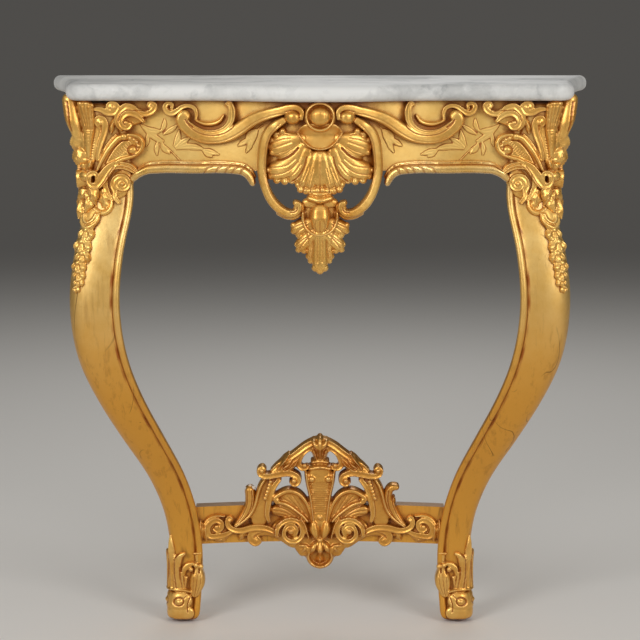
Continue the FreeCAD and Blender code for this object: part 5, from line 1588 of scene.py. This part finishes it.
class PIER_OT_stretcher_scrolls(bpy.types.Operator):
    """The scrolls along the stretcher and the two horns, the left one broken"""

    bl_idname = "pier_table.stretcher_scrolls"
    bl_label = "Stretcher scrolls"

    def execute(self, context):
        # The horns rise out of the long scrolls, and the left one ends in bare gesso
        long_scroll = [
            band([
                (142, 40, 2.8), (146, 43, 3.2), (149, 37, 3.8), (146, 28, 4.4), (137, 22.5, 4.8),
                (126, 21.5, 5.2), (112, 24.5, 5.4), (100, 25.5, 5.4), (88, 24, 5), (76, 19, 4.2),
                (66, 12, 3),
            ], 13, "ribbon"),
            band([
                (92, 21, 2.6), (104, 19, 4.8), (112, 12, 5.2), (110, 3, 5.2), (103, -1, 4.8), (98, 3.5, 4.2),
                (102, 8, 3.4),
            ], 11, "ribbon"),
            leaf([(118, 20, 2), (125, 14, 6), (130, 4, 0.8, 0.5)], 9, lobes=2, notch=0.1),
            band([(74, 12, 3), (88, 16, 5), (100, 14, 4)], 7, "full"),
            ball(145, 38, 3, 9),
        ]
        both("long_scroll", (on_stretcher,), long_scroll, low_shaded_gold(), ["long_scroll"])
        end_scroll = [
            band([
                (142, 20, 2.6), (152, 15.5, 4), (165, 13, 4.6), (177, 14, 4.6), (181, 25, 4.6),
                (176, 35, 4.4), (166, 39, 4.2), (158, 34, 3.8), (158.5, 26, 3.4), (165, 21.5, 3),
                (170, 25, 2.6),
            ], 11, "ribbon"),
            ball(166, 28, 4.4, 6.5),
            band([(160, 26, 12), (174, 26, 12)], 5, "full"),
            band([(154, 45, 1.6), (166, 46, 2.4), (178, 42, 2.8), (186, 33, 2.2)], 8, "round"),
            leaf([(146, 15, 1.4, 0.6), (156, 8, 4.4), (170, 6, 1, 0.5)], 8, lobes=3, notch=0.14),
            leaf([(184, 40, 1.5, 0.6), (184, 24, 6), (183, 5, 2, 0.6)], 10, lobes=3, notch=0.12),
            leaf([(192, 40, 1.5, 0.6), (192, 26, 5), (191, 8, 2, 0.6)], 9, lobes=3, notch=0.12),
        ]
        both("end_scroll", (on_stretcher,), end_scroll, low_shaded_gold(), ["end_scroll"])
        stem = [(135, 31, 3.6), (126, 39, 6.2), (118, 50, 7.6), (113, 63, 8), (112, 76, 8), (113, 86, 7.8)]
        flutes = [
            ([(130, 33), (119, 44), (111, 60), (109, 74), (110, 87)], 1.2, 1.8),
            ([(133, 35), (125, 47), (118.5, 62), (116.5, 75), (117, 87)], 1.2, 1.2),
        ]
        tip = [(109, 76, 7.4), (111, 86, 6.4), (116, 92, 5.8), (122, 92.5, 5)]
        whole = [
            band(stem[:-2] + tip, 15, "full", sink=CREST_BAND),
            leaf([(114, 58, 3), (117, 68, 4.6), (119, 78, 1)], 11, lobes=2, notch=0.1, sink=CREST_BAND),
        ]
        single("horn_right_carving", on_stretcher, whole, low_shaded_gold(), ["horn_right"], cuts=flutes)
        stump = mirrored([band(stem, 15, "full", sink=CREST_BAND)])
        single(
            "horn_left_carving", on_stretcher, stump, low_shaded_gold(), ["horn_left_broken"],
            cuts=flipped(flutes),
        )
        crumbs = pearls(
            (109, 90, 4.4, 4, (1.3, 0.8, 1.6)), (116, 89, 4.2, 5, (1.2, 0.8, 1.5)), (113, 92, 3.6, 2),
        )
        single("horn_break", on_stretcher, mirrored(crumbs), gesso(), [], grain=0.8, smooth=1)
        return {"FINISHED"}


class PIER_OT_stage(bpy.types.Operator):
    """Pale floor, soft studio lamps, a dim room behind and the camera at the photo's angle"""

    bl_idname = "pier_table.stage"
    bl_label = "Stage"

    def execute(self, context):
        scene = context.scene
        colours = scene.pier_colours
        bpy.ops.object.select_all(action="DESELECT")
        bpy.ops.mesh.primitive_plane_add(size=FLOOR_SIZE, location=(0, 0, 0))
        floor = context.active_object
        floor.name = "studio_floor"
        material, tree, shader, place = blank_material("painted_studio_floor")
        # Painted shade: the floor's colour darkens with distance from the table, for the dim end of the room
        away = add(tree, "ShaderNodeVectorMath", {0: place}, operation="LENGTH")
        dim = add(
            tree, "ShaderNodeMapRange",
            {"Value": away, "From Min": FLOOR_PALE_TO, "From Max": FLOOR_DIM_FROM},
            interpolation_type="SMOOTHSTEP",
        )
        paint = add(
            tree, "ShaderNodeMix",
            {"Factor": dim, "A": colours.floor, "B": colours.far_floor_painted_shade}, data_type="RGBA",
        )
        feed(tree, shader, {"Base Color": paint, "Roughness": 0.8, "Specular IOR Level": 0.0})
        floor.data.materials.append(material)
        for name, spot, size, power, aim in LAMPS:
            bpy.ops.object.light_add(type="AREA", location=spot)
            lamp = context.active_object
            lamp.name = name
            lamp.data.shape = "DISK"
            lamp.data.size = size
            lamp.data.energy = power
            way = np.array(aim) - np.array(spot)
            lamp.rotation_euler = (
                math.acos(-way[2] / np.linalg.norm(way)), 0, math.atan2(way[0], -way[1]) + math.pi,
            )
        world = bpy.data.worlds.new("studio_surround")
        scene.world = world
        world.use_nodes = True
        tree = world.node_tree
        path = add(tree, "ShaderNodeLightPath")
        way = add(tree, "ShaderNodeTexCoord")
        parts = add(tree, "ShaderNodeSeparateXYZ", {0: way.outputs["Generated"]})
        sky = add(
            tree, "ShaderNodeMapRange",
            {"Value": parts.outputs["Z"], "From Min": -0.3, "From Max": 0.8, "To Min": 0.18, "To Max": 0.95},
        )
        # Behind the table the room is dim, and the gold and the marble mirror that
        front = add(
            tree, "ShaderNodeMapRange",
            {"Value": parts.outputs["Y"], "From Min": 0.35, "From Max": -0.25, "To Min": 0.04},
            interpolation_type="SMOOTHSTEP",
        )
        room = add(tree, "ShaderNodeMath", {0: sky, 1: front}, operation="MULTIPLY")
        soft = add(
            tree, "ShaderNodeMapRange",
            {"Value": parts.outputs["Z"], "From Max": 0.9, "To Min": 0.6, "To Max": 0.3},
        )
        light = add(
            tree, "ShaderNodeMix", {"Factor": path.outputs["Is Diffuse Ray"], "A": room, "B": soft},
        )
        strength = add(
            tree, "ShaderNodeMix", {"Factor": path.outputs["Is Camera Ray"], "A": light, "B": DIM_ROOM},
        )
        feed(tree, tree.nodes["Background"], {"Color": colours.surround, "Strength": strength})
        bpy.ops.object.camera_add(location=CAMERA_PLACE, rotation=(math.radians(90 - CAMERA_DOWN), 0, 0))
        camera = context.active_object
        camera.data.lens = LENS
        camera.data.sensor_width = SENSOR
        camera.data.clip_end = 2 * FLOOR_SIZE
        scene.camera = camera
        scene.view_settings.view_transform = "Standard"
        return {"FINISHED"}


PIECES = (
    PIER_OT_marble, PIER_OT_legs, PIER_OT_boards, PIER_OT_frieze, PIER_OT_shell, PIER_OT_knees, PIER_OT_feet,
    PIER_OT_crest, PIER_OT_stretcher_scrolls, PIER_OT_stage,
)


class PIER_PT_panel(bpy.types.Panel):
    """Lists the pieces of the pier table with their sizes and colours"""

    bl_idname = "PIER_PT_panel"
    bl_label = "Pier table"
    bl_space_type = "VIEW_3D"
    bl_region_type = "UI"
    bl_category = "Pier table"

    def draw(self, context):
        for group in (context.scene.pier_sizes, context.scene.pier_colours):
            for name in group.__annotations__:
                self.layout.prop(group, name)
        for piece in PIECES:
            self.layout.operator(piece.bl_idname)


CLASSES = (PierTableColours, PierTableSizes) + PIECES + (PIER_PT_panel,)


def register():
    for kind in CLASSES:
        bpy.utils.register_class(kind)
    bpy.types.Scene.pier_sizes = bpy.props.PointerProperty(type=PierTableSizes)
    bpy.types.Scene.pier_colours = bpy.props.PointerProperty(type=PierTableColours)


def unregister():
    del bpy.types.Scene.pier_colours
    del bpy.types.Scene.pier_sizes
    for kind in reversed(CLASSES):
        bpy.utils.unregister_class(kind)


def main():
    register()
    bpy.ops.pier_table.marble()
    bpy.ops.pier_table.legs()
    bpy.ops.pier_table.boards()
    bpy.ops.pier_table.frieze()
    bpy.ops.pier_table.shell()
    bpy.ops.pier_table.knees()
    bpy.ops.pier_table.feet()
    bpy.ops.pier_table.crest()
    bpy.ops.pier_table.stretcher_scrolls()
    bpy.ops.pier_table.stage()


if __name__ == "__main__":
    main()
